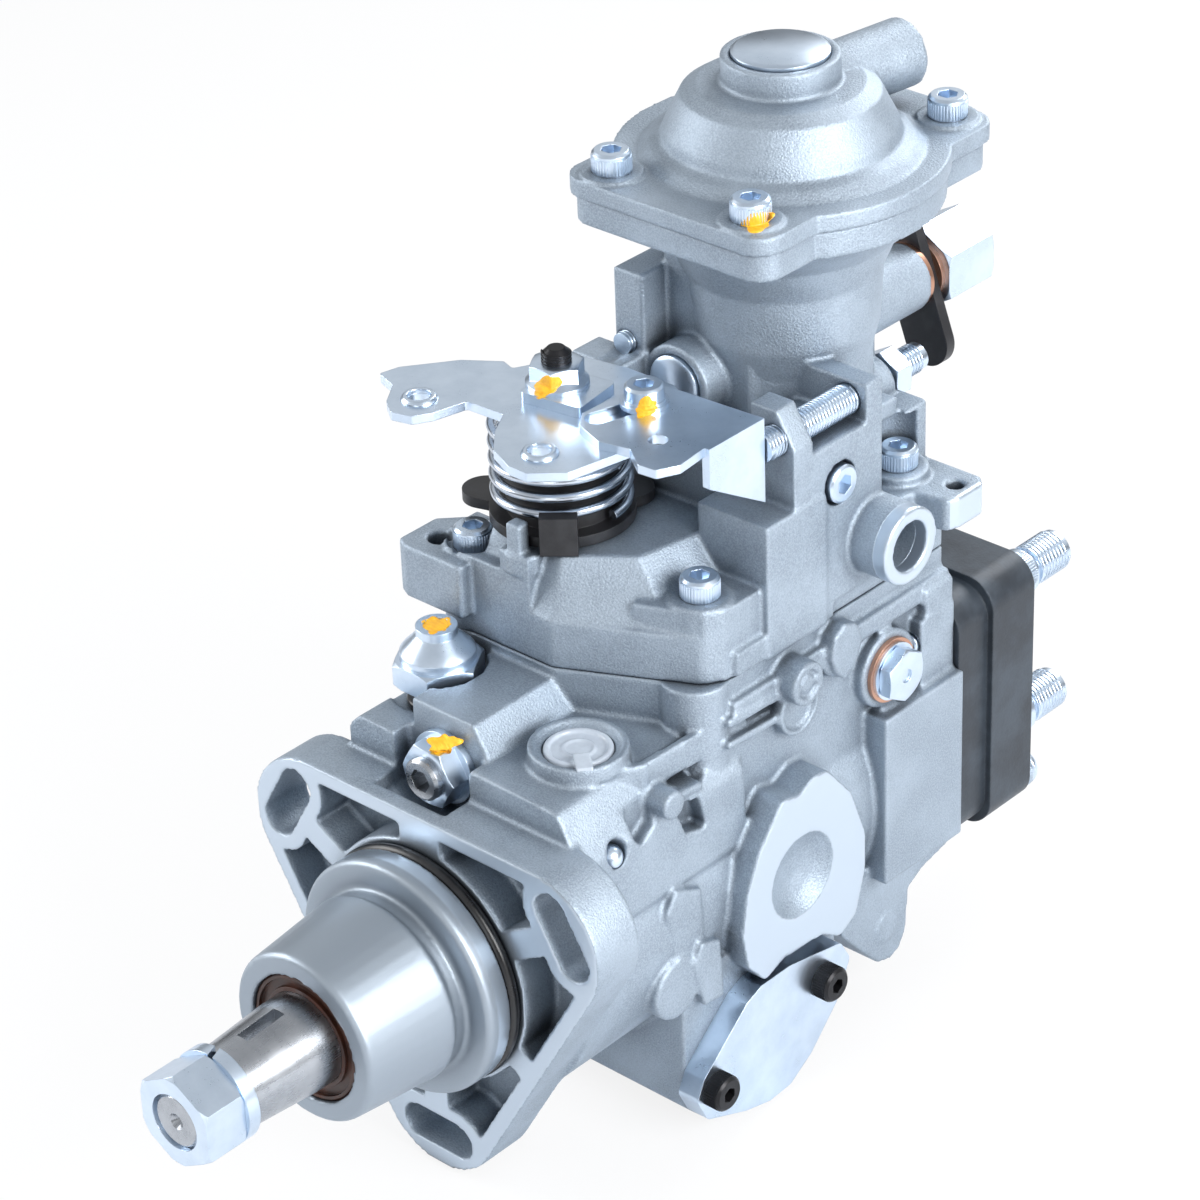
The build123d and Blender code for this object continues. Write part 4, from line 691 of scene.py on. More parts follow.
def ring(axis: str, centre: Pair, *profile: Pair) -> Turned:
    """Turned ring.

    Args:
        axis: Axis that it is turned about.
        centre: Centre on the other two axes.
        profile: Points of its section, as place along the axis and radius.

    Returns:
        The ring.
    """
    return Turned(axis, profile, 0.0, 0.0, centre)


def disc(axis: str, centre: Pair, radius: float, start: float, end: float, sides: int = 40) -> Form:
    """Round form.

    Args:
        axis: Axis that it lies along.
        centre: Centre on the other two axes.
        radius: Radius in millimetres.
        start: Its start along the axis.
        end: Its end along the axis.
        sides: Sides of its outline.

    Returns:
        The form.
    """
    points = tuple(around(centre, radius, 2 * math.pi * side / sides) for side in range(sides))
    return Form(axis, points, start, end)


def rail(axis: str, first: Pair, last: Pair, width: float, start: float, end: float) -> Form:
    """Straight bar between two points of a plane.

    Args:
        axis: Axis that it is drawn out along.
        first: One end of its middle line.
        last: Other end.
        width: Its width.
        start: Its start along the axis.
        end: Its end along the axis.

    Returns:
        The form.
    """
    along = Vector((last[0] - first[0], last[1] - first[1])).normalized() * width / 2
    side = Vector((-along.y, along.x))
    corners = (Vector(first) - along - side, Vector(last) + along - side, Vector(last) + along + side,
               Vector(first) - along + side)
    return Form(axis, tuple((corner.x, corner.y) for corner in corners), start, end)


def form_mesh(name: str, forms: Sequence[Form], base: bpy.types.Mesh | None = None) -> bpy.types.Mesh:
    """Mesh of closed forms, which may overlap.

    Args:
        name: Name of the mesh, where it is a new one.
        forms: Forms that go into it.
        base: Mesh that they are laid into, if any.

    Returns:
        The mesh.
    """
    work = bmesh.new()
    if base:
        work.from_mesh(base)
    for form in forms:
        form.add_to(work)
    mesh = base or bpy.data.meshes.new(name)
    work.to_mesh(mesh)
    work.free()
    return mesh


@dataclass(frozen=True)
class Casting:
    """One casting: its node, how finely it is rounded, and the details added and carved."""

    node: str
    voxel_mm: float
    rounds: int
    added: tuple[Form, ...] = ()
    carved: tuple[Form, ...] = ()


INLET_MM = (23.5, 36.5)
DIMPLE = ((46.0, 13.0), (51.7, 13.0), (48.6, 8.5), (47.2, 4.0), (46.0, 4.0))
HOUSING_ADDED = (
    # Column under the cover's right screw, with its rounded foot
    disc("z", (33.4, 71.0), 9.3, 37.0, 66.0),
    # Rim along the edge of the inlet's shelf
    rail("z", (31.5, 29.5), (38.6, 44.0), 2.4, 45.0, 54.6),
    rail("z", (38.6, 44.0), (39.8, 66.0), 2.4, 46.0, 54.6),
    # Small round boss under the shelf, with a rail to the column
    disc("x", (46.6, 43.6), 4.0, 30.0, 47.4),
    rail("x", (48.0, 42.8), (60.0, 41.6), 2.2, 30.0, 44.2),
    # Two rails on the side wall, between the column and the ringed boss
    rail("x", (72.0, 55.2), (92.0, 54.2), 2.4, 38.0, 45.2),
    rail("x", (72.0, 48.4), (94.0, 47.2), 2.4, 38.0, 45.0),
    # Ringed boss and the rimmed disc below it
    disc("x", (97.3, 57.2), 6.3, 38.0, 49.0),
    ring("x", (97.3, 57.2), (48.0, 4.1), (50.4, 4.1), (50.4, 6.3), (48.0, 6.3)),
    disc("x", (97.3, 57.2), 2.6, 46.0, 50.0),
    disc("x", (98.5, 47.6), 7.4, 38.0, 44.8),
    ring("x", (98.5, 47.6), (43.0, 6.4), (46.4, 6.4), (46.4, 8.0), (43.0, 8.0)),
    # Lip round the inlet
    ring("z", INLET_MM, (54.0, 9.9), (56.2, 9.9), (58.3, 11.9), (58.3, 13.2), (54.0, 13.6)),
    # Slanted wall of the dimples in the machined pads, one on each side
    *(ring("x", (92.0, 0.0), *((side * place, radius) for place, radius in DIMPLE)) for side in (1, -1)),
    # Flat boss with a cut corner
    Form("x", ((112.5, 52.0), (110.6, 57.0), (112.0, 63.0), (116.5, 65.6), (121.5, 63.6), (123.8, 57.5),
               (121.0, 51.0), (116.0, 48.4)), 38.0, 47.4),
    # Stepped pads between the flange and the round machined pad
    Form("x", ((47.0, 16.5), (43.0, 10.5), (45.5, 3.0), (47.0, -10.0), (57.0, -12.0), (57.0, 12.0)),
         38.0, 46.6),
    Form("x", ((54.5, -3.5), (51.5, -9.0), (55.0, -24.0), (63.0, -25.0), (62.0, -6.0)), 34.0, 48.6),
    # Lug behind the timing device, under the rear block
    Form("x", ((172.0, -21.5), (172.0, -30.6), (165.6, -32.4), (155.4, -34.6), (149.0, -38.0),
               (147.6, -52.0), (144.8, -56.6), (140.6, -58.2), (135.0, -56.6), (126.0, -47.0),
               (119.0, -39.0), (119.0, -21.5)), 30.0, 43.6),
    disc("x", (138.6, -46.0), 4.6, 40.0, 44.1),
)
HOUSING_CARVED = (
    # Hollow under the inlet's shelf
    Form("x", ((49.5, 50.4), (66.0, 49.6), (67.0, 44.0), (61.0, 39.6), (50.8, 45.2)), 35.0, 60.0),
    Form("x", ((50.5, 39.4), (60.0, 38.0), (62.0, 28.0), (54.0, 30.0)), 39.0, 60.0),
    Form("x", ((34.6, 49.6), (43.4, 50.6), (42.6, 39.0), (37.0, 35.0), (34.6, 38.0)), 39.6, 60.0),
    # Groove between the side rails
    rail("x", (83.0, 51.7), (92.0, 51.2), 3.4, 40.4, 60.0),
)
COVER_ADDED = (
    # Thicker band along the joint, on the right
    rail("x", (80.0, 70.0), (113.0, 70.0), 7.0, 38.0, 43.4),
    # Rim round the tower's foot
    rail("z", (16.5, 123.0), (16.5, 150.0), 2.0, 90.0, 100.0),
)
HOUSING_CASTING = Casting("pump_housing", 0.7, 2, HOUSING_ADDED, HOUSING_CARVED)
COVER_CASTING = Casting("governor_cover", 0.62, 2, COVER_ADDED)
BOOST_CASTING = Casting("boost_cover", 0.5, 2)


@dataclass
class Castings:
    """The three aluminium castings with their cast details and softly rounded edges."""

    shop: Shop
    castings: tuple[Casting, ...] = (HOUSING_CASTING, COVER_CASTING, BOOST_CASTING)
    most_triangles: int = 190000
    quick_coarseness: float = 2.0

    def carve(self, piece: bpy.types.Object, forms: Sequence[Form]) -> bpy.types.Object:
        """Cut forms out of a piece, one after another.

        Args:
            piece: Temporary object, which is replaced at each cut.
            forms: Forms to cut out.

        Returns:
            The object that is left.
        """
        for form in forms:
            cutter = self.shop.loose(form_mesh("forms", (form,)))
            cut = piece.modifiers.new("cut", "BOOLEAN")
            cut.operation = "DIFFERENCE"
            cut.solver = "EXACT"
            cut.object = cutter
            piece = self.shop.loose(self.shop.baked(piece))
            bpy.data.objects.remove(cutter)
        return piece

    def thinned(self, mesh: bpy.types.Mesh) -> bpy.types.Mesh:
        """Bring a mesh of four-sided faces under the largest number of triangles.

        Args:
            mesh: Mesh as the voxels give it.

        Returns:
            The same mesh, or a thinner one.
        """
        triangles = 2 * len(mesh.polygons)
        if triangles <= self.most_triangles:
            return mesh
        piece = self.shop.loose(mesh)
        fewer = piece.modifiers.new("fewer", "DECIMATE")
        fewer.ratio = self.most_triangles / triangles
        return self.shop.baked(piece)

    def build(self) -> None:
        """Make each casting."""
        coarseness = 1.0
        for casting in self.castings:
            piece = self.carve(self.shop.loose(self.shop.merged(casting.node)), casting.carved)
            if casting.added:
                form_mesh("forms", casting.added, piece.data)
            mesh = self.thinned(self.shop.united(piece, casting.voxel_mm * coarseness, casting.rounds))
            mesh.shade_smooth()
            self.shop.place(f"{casting.node}_casting", mesh, Body.CASING.value, Slot.CASTING,
                            replaced=(casting.node,))


@dataclass
class BareNodes:
    """Nodes of the frame whose shape is right: smooth shading and the real finish."""

    shop: Shop
    sharp_degrees: float = 32.0
    weld_mm: float = 0.003

    def build(self) -> None:
        """Dress each node that is still shown."""
        for name, node in self.shop.frame["nodes"].items():
            node.data.materials.clear()
            node.data.materials.append(self.shop.finishes.of(self.shop.slots[name]))
            if node.hide_render:
                continue
            for face in node.data.polygons:
                face.use_smooth = True
            weld = node.modifiers.new("merge", "WELD")
            weld.merge_threshold = self.weld_mm * MM
            split = node.modifiers.new("crisp", "EDGE_SPLIT")
            split.split_angle = math.radians(self.sharp_degrees)


class Recipe(Graph):
    """Geometry Nodes tree with named inputs, used once on a piece."""

    def __init__(self, name: str) -> None:
        """Start a tree with a geometry input and output."""
        tree = bpy.data.node_groups.new(name, "GeometryNodeTree")
        super().__init__(tree)
        tree.interface.new_socket("Geometry", in_out="INPUT", socket_type="NodeSocketGeometry")
        tree.interface.new_socket("Geometry", in_out="OUTPUT", socket_type="NodeSocketGeometry")
        self.start = self.node("NodeGroupInput")
        self.end = self.node("NodeGroupOutput")
        self.names: dict[str, str] = {}

    def value(self, name: str, kind: str) -> bpy.types.NodeSocket:
        """Add a named input.

        Args:
            name: Name of the input.
            kind: Blender's socket type.

        Returns:
            The input's socket inside the tree.
        """
        item = self.tree.interface.new_socket(name, in_out="INPUT", socket_type=kind)
        self.names[name] = item.identifier
        return self.start.outputs[name]

    def numbers(self, *names: str) -> tuple[bpy.types.NodeSocket, ...]:
        """Add an input for each named number."""
        return tuple(self.value(name, "NodeSocketFloat") for name in names)

    def close(self, geometry: bpy.types.NodeSocket, material: bpy.types.Material) -> None:
        """End the tree with real geometry and its material.

        Args:
            geometry: Output that the tree ends in.
            material: Material of all its faces.
        """
        real = self.node("GeometryNodeRealizeInstances", None, {0: geometry})
        dressed = self.node("GeometryNodeSetMaterial", None, {0: real.outputs[0], "Material": material})
        self.tree.links.new(dressed.outputs[0], self.end.inputs[0])

    def grow(self, shop: Shop, base: bpy.types.Mesh, values: dict[str, Any]) -> bpy.types.Mesh:
        """Run the tree on a mesh.

        Args:
            shop: Helper that bakes objects.
            base: Mesh that goes in.
            values: Value of each named input.

        Returns:
            The mesh that comes out.
        """
        piece = shop.loose(base)
        modifier = piece.modifiers.new(self.tree.name, "NODES")
        modifier.node_group = self.tree
        for name, value in values.items():
            modifier[self.names[name]] = value
        return shop.baked(piece)


def point_mesh(name: str, points: Iterable[Sequence[float]]) -> bpy.types.Mesh:
    """Mesh of bare points.

    Args:
        name: Name of the mesh.
        points: Their places in millimetres.

    Returns:
        The mesh.
    """
    mesh = bpy.data.meshes.new(name)
    mesh.from_pydata([tuple(value * MM for value in point) for point in points], [], [])
    return mesh


def upright(mesh: bpy.types.Mesh) -> bpy.types.Mesh:
    """Merge a mesh's doubles and turn its faces outwards.

    Args:
        mesh: Mesh that is changed in place.

    Returns:
        The same mesh.
    """
    work = bmesh.new()
    work.from_mesh(mesh)
    bmesh.ops.remove_doubles(work, verts=work.verts, dist=SEAM_MM * MM)
    bmesh.ops.recalc_face_normals(work, faces=work.faces)
    work.to_mesh(mesh)
    work.free()
    return mesh


class KnurlRecipe(Recipe):
    """Ring of small ribs round each screw head."""

    rib_sides = 4

    def __init__(self, material: bpy.types.Material) -> None:
        """Build the tree."""
        super().__init__("head_knurl")
        count = self.value("Ribs", "NodeSocketInt")
        radius, height, width = self.numbers("Radius", "Height", "Width")
        turn = self.value("Turn", "NodeSocketRotation")
        circle = self.node("GeometryNodeMeshCircle", None, {"Vertices": count, "Radius": radius})
        rib = self.node("GeometryNodeMeshCylinder", {"fill_type": "NGON"},
                        {"Vertices": self.rib_sides, "Radius": width, "Depth": height})
        ribs = self.node("GeometryNodeInstanceOnPoints", None,
                         {"Points": circle.outputs[0], "Instance": rib.outputs[0]})
        solid = self.node("GeometryNodeRealizeInstances", None, {0: ribs.outputs[0]})
        heads = self.node("GeometryNodeInstanceOnPoints", None,
                          {"Points": self.start.outputs[0], "Instance": solid.outputs[0], "Rotation": turn})
        self.close(heads.outputs[0], material)


class ThreadRecipe(Recipe):
    """Helical ridge of a screw thread round a core."""

    steps_in_turn = 28
    tooth_sides = 4
    tooth_of_pitch = 0.3

    def __init__(self, material: bpy.types.Material) -> None:
        """Build the tree."""
        super().__init__("screw_thread")
        radius, pitch, length = self.numbers("Radius", "Pitch", "Length")
        turn = self.value("Turn", "NodeSocketRotation")
        turns = self.node("ShaderNodeMath", {"operation": "DIVIDE"}, {0: length, 1: pitch})
        spiral = self.node("GeometryNodeCurveSpiral", None,
                           {"Resolution": self.steps_in_turn, "Rotations": turns.outputs[0],
                            "Start Radius": radius, "End Radius": radius, "Height": length})
        upright_curve = self.node("GeometryNodeSetCurveNormal", {"mode": "Z_UP"}, {0: spiral.outputs[0]})
        tooth = self.node("GeometryNodeCurvePrimitiveCircle", None, {"Resolution": self.tooth_sides})
        scale = self.node("ShaderNodeMath", {"operation": "MULTIPLY"}, {0: pitch, 1: self.tooth_of_pitch})
        sized = self.node("GeometryNodeTransform", None, {0: tooth.outputs[0], "Scale": scale.outputs[0]})
        ridge = self.node("GeometryNodeCurveToMesh", None,
                          {0: upright_curve.outputs[0], 1: sized.outputs[0], "Fill Caps": True})
        solid = self.node("GeometryNodeRealizeInstances", None, {0: ridge.outputs[0]})
        rods = self.node("GeometryNodeInstanceOnPoints", None,
                         {"Points": self.start.outputs[0], "Instance": solid.outputs[0], "Rotation": turn})
        self.close(rods.outputs[0], material)


class Axis(Enum):
    """Turn that lays a piece's own Z along an axis."""

    X = (0.0, math.pi / 2, 0.0)
    Y = (-math.pi / 2, 0.0, 0.0)
    Z = (0.0, 0.0, 0.0)


@dataclass(frozen=True)
class Knurl:
    """Knurled screw heads of one size on one axis."""

    name: str
    body: Body
    slot: Slot
    axis: Axis
    centres_mm: tuple[Place, ...]
    radius_mm: float
    height_mm: float
    rib_mm: float = 0.3
    ribs: int = 40


@dataclass(frozen=True)
class Thread:
    """Screw threads of one size on one axis, each from its starting point."""

    name: str
    body: Body
    slot: Slot
    axis: Axis
    starts_mm: tuple[Place, ...]
    radius_mm: float
    pitch_mm: float
    length_mm: float


HEAD_MM = 5.2
KNURLS = (
    Knurl("cover_screw_knurls", Body.CASING, Slot.ZINC, Axis.Z,
          ((32.2, 75.4, 90.4), (-31.8, 57.8, 90.4), (32.0, 158.0, 93.4), (-32.0, 158.0, 93.4)),
          HEAD_MM, height_mm=4.4),
    Knurl("boost_screw_knurls", Body.CASING, Slot.ZINC, Axis.Z,
          tuple(product((25.6, -21.4), (105.6, 186.4), (184.4,))), HEAD_MM, height_mm=4.2),
    Knurl("head_screw_knurls", Body.CASING, Slot.ZINC, Axis.Y,
          tuple(product((42.5, -42.5), (199.4,), (-25.0, 42.0))), HEAD_MM, height_mm=4.4),
    Knurl("timing_screw_knurls", Body.CASING, Slot.BLACK_STEEL, Axis.X,
          ((54.3, 100.0, -38.7), (54.3, 54.0, -48.9), (-54.3, 100.0, -38.7), (-54.3, 54.0, -48.9)),
          radius_mm=5.0, height_mm=4.0),
)
OUTLET_CIRCLE_MM = 33.5
OUTLET_START_MM = 229.8
OUTLET_DEGREES = (45, 135, 225, 315)
OUTLET_SPOTS = tuple(around((0.0, 0.0), OUTLET_CIRCLE_MM, math.radians(turn)) for turn in OUTLET_DEGREES)
OUTLET_STARTS = tuple((x, OUTLET_START_MM, z) for x, z in OUTLET_SPOTS)
# Name, body, slot, axis, starts, then core radius, pitch and length in millimetres
THREADS = (
    Thread("outlet_threads", Body.CASING, Slot.ZINC, Axis.Y, OUTLET_STARTS, 5.95, 1.5, 12.0),
    Thread("speed_screw_thread", Body.CASING, Slot.ZINC, Axis.Y, ((37.0, 95.5, 124.4),), 3.95, 1.25, 34.0),
    Thread("idle_screw_thread", Body.CASING, Slot.ZINC, Axis.Y, ((-24.0, 111.0, 129.0),), 2.95, 1.0, 20.0),
    Thread("load_screw_thread", Body.CASING, Slot.ZINC, Axis.Y, ((15.5, 152.0, 107.0),), 3.95, 1.25, 33.0),
    Thread("lever_stud_thread", Body.LEVER, Slot.BLACK_STEEL, Axis.Z, ((-15.0, 75.0, 140.6),),
           3.75, 1.0, 3.4),
)


@dataclass
class Fasteners:
    """Knurls on the cap screws and threads on the studs and outlets."""

    shop: Shop
    knurls: tuple[Knurl, ...] = KNURLS
    threads: tuple[Thread, ...] = THREADS

    def build(self) -> None:
        """Make every knurl and thread."""
        for item in self.knurls:
            recipe = KnurlRecipe(self.shop.finishes.of(item.slot))
            values = {"Ribs": item.ribs, "Radius": item.radius_mm * MM, "Height": item.height_mm * MM,
                      "Width": item.rib_mm * MM, "Turn": item.axis.value}
            mesh = recipe.grow(self.shop, point_mesh(item.name, item.centres_mm), values)
            self.shop.place(item.name, mesh, item.body.value, item.slot)
        for item in self.threads:
            recipe = ThreadRecipe(self.shop.finishes.of(item.slot))
            values = {"Radius": item.radius_mm * MM, "Pitch": item.pitch_mm * MM,
                      "Length": item.length_mm * MM, "Turn": item.axis.value}
            mesh = recipe.grow(self.shop, point_mesh(item.name, item.starts_mm), values)
            self.shop.place(item.name, upright(mesh), item.body.value, item.slot)


@dataclass(frozen=True)
class Dab:
    """One dab of marking paint, thrown along a line onto what is there."""

    body: Body
    centre_mm: Place
    toward: Place
    wide_mm: float
    long_mm: float
    turn_degrees: float = 0.0


# Directions that dabs are thrown in: the photograph's line of sight, and straight down
VIEW = (-0.59, 0.63, -0.51)
DOWN = (0.0, 0.0, -1.0)
PAINTED = ("cover_screws", "boost_cover", "lever_nut", "lever_plate", "lever_bracket", "clamp_screw",
           "pressure_valve", "governor_nut", "pump_housing")
# Body, middle, line that it is thrown along, then width, length and turn
DABS = (
    Dab(Body.CASING, (30.0, 103.0, 183.0), VIEW, 8.0, 5.0, 20.0),
    Dab(Body.LEVER, (-13.6, 69.6, 136.0), VIEW, 8.6, 4.6, 10.0),
    Dab(Body.LEVER, (14.0, 77.0, 136.0), VIEW, 6.4, 4.6, 0.0),
    Dab(Body.CASING, (-27.0, 37.5, 74.2), DOWN, 8.2, 8.2, 0.0),
    Dab(Body.CASING, (-3.6, 14.6, 58.0), VIEW, 8.0, 5.0, 10.0),
)


@dataclass
class PaintDabs:
    """Dabs of marking paint that lie on the screws and the casting."""

    shop: Shop
    targets: tuple[str, ...] = PAINTED
    dabs: tuple[Dab, ...] = DABS
    thickness_mm: float = 0.35
    swell_power: float = 2.2
    edge_sink_mm: float = 0.05
    bridge_mm: float = 2.5
    throw_mm: float = 12.0
    reach_mm: float = 30.0
    wave_sizes: Pair = (0.04, 0.14)
    wave_phases: Pair = (0.0, 6.3)
    wave_counts: tuple[int, ...] = (2, 3, 5, 7)
    first_seed: int = 11
    rings: int = 10
    spokes: int = 36

    def tree(self) -> BVHTree:
        """Gather the surfaces that may carry paint.

        Returns:
            Search tree over their faces.
        """
        points: list[Vector] = []
        faces: list[tuple[int, ...]] = []
        for name in self.targets:
            mesh = self.shop.frame["nodes"][name].data
            first = len(points)
            points.extend(vertex.co.copy() for vertex in mesh.vertices)
            faces.extend(tuple(first + index for index in face.vertices) for face in mesh.polygons)
        return BVHTree.FromPolygons(points, faces)

    def dab_mesh(self, dab: Dab, tree: BVHTree, seed: int) -> tuple[list[Vector], list[tuple[int, ...]]]:
        """Points and faces of one dab.

        Args:
            dab: Its place and size.
            tree: Surfaces that it lies on.
            seed: Seed of its outline.

        Returns:
            Points in metres and faces.
        """
        chance = random.Random(seed)
        waves = [(chance.uniform(*self.wave_sizes), chance.uniform(*self.wave_phases), count)
                 for count in self.wave_counts]
        ahead = Vector(dab.toward).normalized()
        side = ahead.orthogonal().normalized()
        side = Matrix.Rotation(math.radians(dab.turn_degrees), 3, ahead) @ side
        up = ahead.cross(side)
        centre = Vector(dab.centre_mm) * MM
        points, faces = [], []
        for step in range(self.rings + 1):
            share = step / self.rings
            for spoke in range(self.spokes):
                angle = 2 * math.pi * spoke / self.spokes
                edge = 1 + sum(size * math.sin(count * angle + phase) for size, phase, count in waves)
                offset = side * math.cos(angle) * dab.wide_mm + up * math.sin(angle) * dab.long_mm
                start = centre + offset * (0.5 * edge * share * MM) - ahead * self.throw_mm * MM
                hit = tree.ray_cast(start, ahead, self.reach_mm * MM)[0]
                if hit is None or (hit - centre).dot(ahead) > self.bridge_mm * MM:
                    hit = start + ahead * self.throw_mm * MM
                swell = self.thickness_mm * MM * math.sqrt(max(0.0, 1 - share ** self.swell_power))
                points.append(hit - ahead * (swell - self.edge_sink_mm * MM * share))
        for step in range(self.rings):
            for spoke in range(self.spokes):
                first = step * self.spokes + spoke
                second = step * self.spokes + (spoke + 1) % self.spokes
                faces.append((first, second, second + self.spokes, first + self.spokes))
        return points, faces

    def build(self) -> None:
        """Make one piece of dabs for each body."""
        tree = self.tree()
        for body in Body:
            chosen = [(index, dab) for index, dab in enumerate(self.dabs) if dab.body is body]
            if not chosen:
                continue
            points: list[Vector] = []
            faces: list[tuple[int, ...]] = []
            for index, dab in chosen:
                dab_points, dab_faces = self.dab_mesh(dab, tree, self.first_seed + index)
                faces.extend(tuple(len(points) + corner for corner in face) for face in dab_faces)
                points.extend(dab_points)
            mesh = bpy.data.meshes.new("paint_dabs")
            mesh.from_pydata(points, [], faces)
            mesh = upright(mesh)
            mesh.shade_smooth()
            self.shop.place(f"paint_dabs_{body.value}", mesh, body.value, None, self.shop.finishes.paint)


TAB_TURN = math.radians(-40.0)
TAB_START, TAB_END = (around(INLET_MM, reach, TAB_TURN) for reach in (7.6, 10.8))
CAP_FORMS = (
    # Plug with a raised rim and a smaller one round its middle
    disc("z", INLET_MM, 9.3, 46.0, 56.7),
    ring("z", INLET_MM, (56.4, 7.4), (57.5, 7.7), (57.5, 9.0), (56.4, 9.3)),
    ring("z", INLET_MM, (56.4, 3.4), (57.1, 3.7), (57.1, 4.4), (56.4, 4.8)),
    # Pull tab with a round end
    rail("z", TAB_START, TAB_END, 4.4, 56.9, 58.9),
    disc("z", TAB_END, 2.2, 56.9, 58.9),
)
LEVER_HOLES_MM = ((-41.3, 50.4), (3.6, 47.9))
# Section of a rim on the lever's upper face, which is at a height of 131.5 mm
RIM_SECTION = ((131.2, 3.15), (132.7, 3.15), (132.7, 4.2), (131.9, 4.9), (131.2, 5.0))
RIM_FORMS = tuple(ring("z", centre, *RIM_SECTION) for centre in LEVER_HOLES_MM)
DOME_CENTRES_MM = ((-42.5, -25.0), (42.5, -25.0))
DOME_ROOT_MM = 202.6
DOME_HEIGHT_MM = 4.4
DOME_RADIUS_MM = 5.3
DOME_BORE_MM = 0.3
DOME_ARC = tuple((DOME_ROOT_MM + DOME_HEIGHT_MM * math.sin(math.radians(turn)),
                  DOME_RADIUS_MM * math.cos(math.radians(turn))) for turn in range(0, 86, 8))
DOME_SECTION = ((DOME_ROOT_MM, DOME_BORE_MM), *DOME_ARC, (DOME_ROOT_MM + DOME_HEIGHT_MM, DOME_BORE_MM))
DOME_FORMS = tuple(ring("y", centre, *DOME_SECTION) for centre in DOME_CENTRES_MM)


@dataclass(frozen=True)
class SmallPiece:
    """Small piece made of forms; without a voxel size they stay as they are."""

    name: str
    body: Body
    slot: Slot
    forms: tuple[Form, ...]
    voxel_mm: float = 0.0
    rounds: int = 0
    replaced: tuple[str, ...] = ()


SMALL_PIECES = (
    SmallPiece("inlet_cap_moulded", Body.CASING, Slot.WHITE_PLASTIC, CAP_FORMS, 0.3, 3, ("inlet_cap",)),
    SmallPiece("lever_hole_rims", Body.LEVER, Slot.ZINC, RIM_FORMS, 0.2, 2),
    SmallPiece("head_screw_domes", Body.CASING, Slot.ZINC, DOME_FORMS),
)


@dataclass
class SmallPieces:
    """Pieces whose round or moulded look the CAD model leaves plain."""

    shop: Shop
    pieces: tuple[SmallPiece, ...] = SMALL_PIECES

    def build(self) -> None:
        """Make every small piece."""
        for item in self.pieces:
            mesh = form_mesh(item.name, item.forms)
            if item.voxel_mm:
                mesh = self.shop.united(self.shop.loose(mesh), item.voxel_mm, item.rounds)
            mesh.shade_smooth()
            self.shop.place(item.name, mesh, item.body.value, item.slot, replaced=item.replaced)


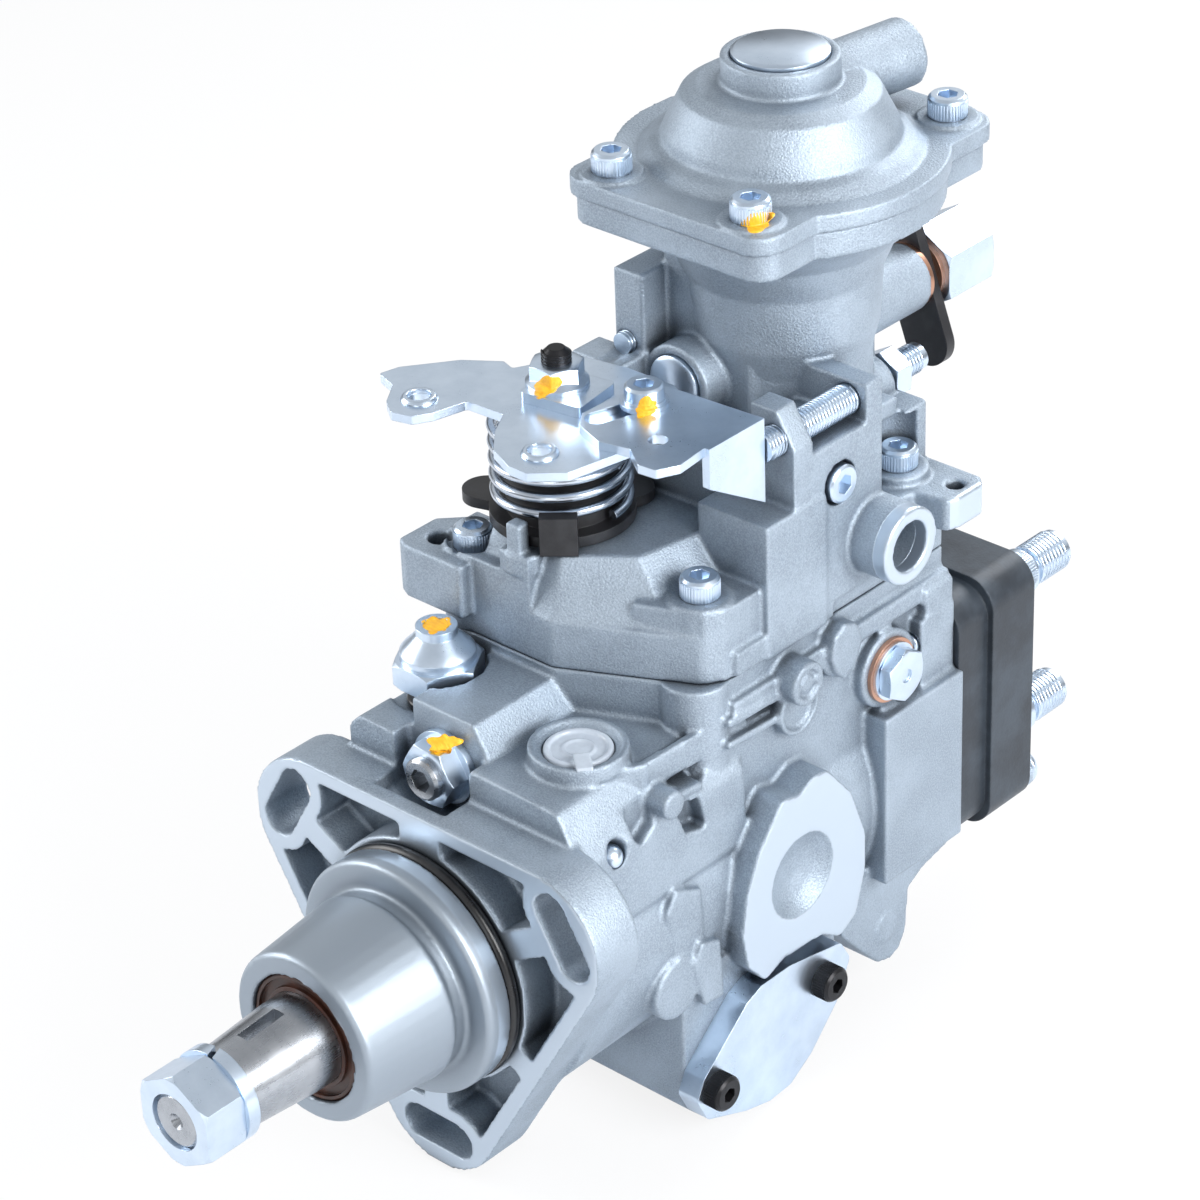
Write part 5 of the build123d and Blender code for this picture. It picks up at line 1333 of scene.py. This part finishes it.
@dataclass
class Studio:
    """Floor, lamps, world and the camera at the photograph's angle."""

    position_mm: Place = (627.166, -598.991, 617.484)
    azimuth: float = 43.07
    elevation: float = 30.52
    roll: float = -2.213
    focal_pixels: float = 4039.93
    picture_pixels: float = 1200.0
    sensor_mm: float = 36.0
    clip_start: float = 0.01
    target_mm: Place = (0.0, 70.0, 60.0)
    floor_reach: float = 4.0
    floor_gap_mm: float = 0.5
    floor_glow: float = 0.85
    floor_colour: Colour = (0.74, 0.75, 0.77)
    white: Colour = (1.0, 1.0, 1.0)
    world_strength: float = 0.82
    world_low: Colour = (0.50, 0.52, 0.55)
    world_high: Colour = (0.62, 0.63, 0.65)
    world_tint: Colour = (0.97, 0.985, 1.0)
    # Height in the world's ramp and brightness there
    world_stops: tuple[Pair, ...] = ((0.47, 0.30), (0.56, 0.10), (0.67, 0.85), (0.76, 1.0))
    # Name, place, size in millimetres and watts
    lamps: tuple[tuple[str, Place, float, float], ...] = (
        ("key", (980.0, 60.0, 520.0), 700.0, 15.5),
        ("left", (-700.0, -300.0, 350.0), 500.0, 4.0),
        ("front", (350.0, -800.0, 200.0), 420.0, 1.0),
        ("back", (-60.0, 950.0, 650.0), 600.0, 6.0),
    )

    def camera(self) -> None:
        """Add the fitted camera."""
        angles = (self.azimuth, self.elevation, self.roll)
        azimuth, elevation, roll = (math.radians(angle) for angle in angles)
        back = Vector((math.sin(azimuth) * math.cos(elevation), -math.cos(azimuth) * math.cos(elevation),
                       math.sin(elevation)))
        right = Vector((math.cos(azimuth), math.sin(azimuth), 0.0))
        up = back.cross(right)
        turned_right = right * math.cos(roll) + up * math.sin(roll)
        turned_up = up * math.cos(roll) - right * math.sin(roll)
        turn = Matrix((turned_right, turned_up, back)).transposed().to_4x4()
        lens = bpy.data.cameras.new("photograph")
        lens.sensor_width = self.sensor_mm
        lens.lens = self.focal_pixels / self.picture_pixels * self.sensor_mm
        lens.clip_start = self.clip_start
        camera = shown("photograph", lens)
        camera.matrix_world = Matrix.Translation(Vector(self.position_mm) * MM) @ turn
        bpy.context.scene.camera = camera

    def light(self) -> None:
        """Add the soft lamps, each aimed at the middle of the pump."""
        target = Vector(self.target_mm) * MM
        for name, place, size, watts in self.lamps:
            lamp = bpy.data.lights.new(name, "AREA")
            lamp.shape = "DISK"
            lamp.size = size * MM
            lamp.energy = watts
            spot = Vector(place) * MM
            turn = (spot - target).to_track_quat("Z", "Y").to_matrix().to_4x4()
            shown(name, lamp).matrix_world = Matrix.Translation(spot) @ turn

    def world(self) -> None:
        """White for the camera, a soft grey studio for everything else."""
        world = bpy.data.worlds.new("studio")
        world.use_nodes = True
        bpy.context.scene.world = world
        graph = Graph(world.node_tree)
        world.node_tree.nodes.clear()
        ray = graph.node("ShaderNodeLightPath")
        coords = graph.node("ShaderNodeTexCoord")
        height = graph.node("ShaderNodeSeparateXYZ", None, {0: coords.outputs["Generated"]}).outputs[2]
        ramp = graph.node("ShaderNodeValToRGB", None, {0: Wire(graph, height) * 0.5 + 0.5})
        stops = ramp.color_ramp.elements
        stops[0].position, stops[0].color = 0.0, (*self.world_low, 1)
        stops[1].position, stops[1].color = 1.0, (*self.world_high, 1)
        for position, grey in self.world_stops:
            stop = stops.new(position)
            stop.color = (*(grey * part for part in self.world_tint), 1)
        studio = graph.node("ShaderNodeBackground", None, {0: ramp.outputs[0], 1: self.world_strength})
        white = graph.node("ShaderNodeBackground", None, {0: self.white, 1: 1.0})
        mixed = graph.node("ShaderNodeMixShader", None,
                           {0: ray.outputs["Is Camera Ray"], 1: studio.outputs[0], 2: white.outputs[0]})
        graph.node("ShaderNodeOutputWorld", None, {0: mixed.outputs[0]})

    def floor(self, low_mm: float) -> None:
        """Add the pale floor under the pump.

        Args:
            low_mm: Height of the pump's lowest point.
        """
        mesh = bpy.data.meshes.new("floor")
        reach = self.floor_reach
        height = low_mm * MM - self.floor_gap_mm * MM
        mesh.from_pydata([(-reach, -reach, height), (reach, -reach, height), (reach, reach, height),
                          (-reach, reach, height)], [], [(0, 1, 2, 3)])
        paint = Paint("pale_floor")
        ray = paint.node("ShaderNodeLightPath")
        glow = paint.node("ShaderNodeEmission", None, {0: self.white, 1: 1.0})
        matte = paint.node("ShaderNodeBsdfDiffuse", None, {0: self.floor_colour})
        share = Wire(paint, ray.outputs["Is Camera Ray"]) * self.floor_glow
        mixed = paint.node("ShaderNodeMixShader", None, {0: share, 1: matte.outputs[0], 2: glow.outputs[0]})
        paint.tree.links.new(mixed.outputs[0], paint.end.inputs[0])
        mesh.materials.append(paint.material)
        floor = shown("floor", mesh)
        floor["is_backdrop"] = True

    def build(self, low_mm: float) -> None:
        """Make the whole studio over a floor at the given height."""
        self.camera()
        self.light()
        self.world()
        self.floor(low_mm)
        bpy.context.scene.view_settings.view_transform = "Standard"


def plain(box: tuple[Vector, Vector]) -> list[list[float]]:
    """Box as plain lists of numbers."""
    return [[float(value) for value in corner] for corner in box]


def main() -> dict[str, Any]:
    """Load the frame and build every class in order.

    Returns:
        The box of the CAD model.
    """
    logging.basicConfig(level=logging.INFO, format="%(name)s %(message)s")
    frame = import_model()
    box = plain(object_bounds())
    shop = Shop(frame)
    Studio().build(box[0][2] / MM)
    Castings(shop).build()
    SmallPieces(shop).build()
    BareNodes(shop).build()
    Fasteners(shop).build()
    PaintDabs(shop).build()
    return {"cad": box}


if __name__ == "__main__":
    sizes = main()
    sizes["visual"] = plain(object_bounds())
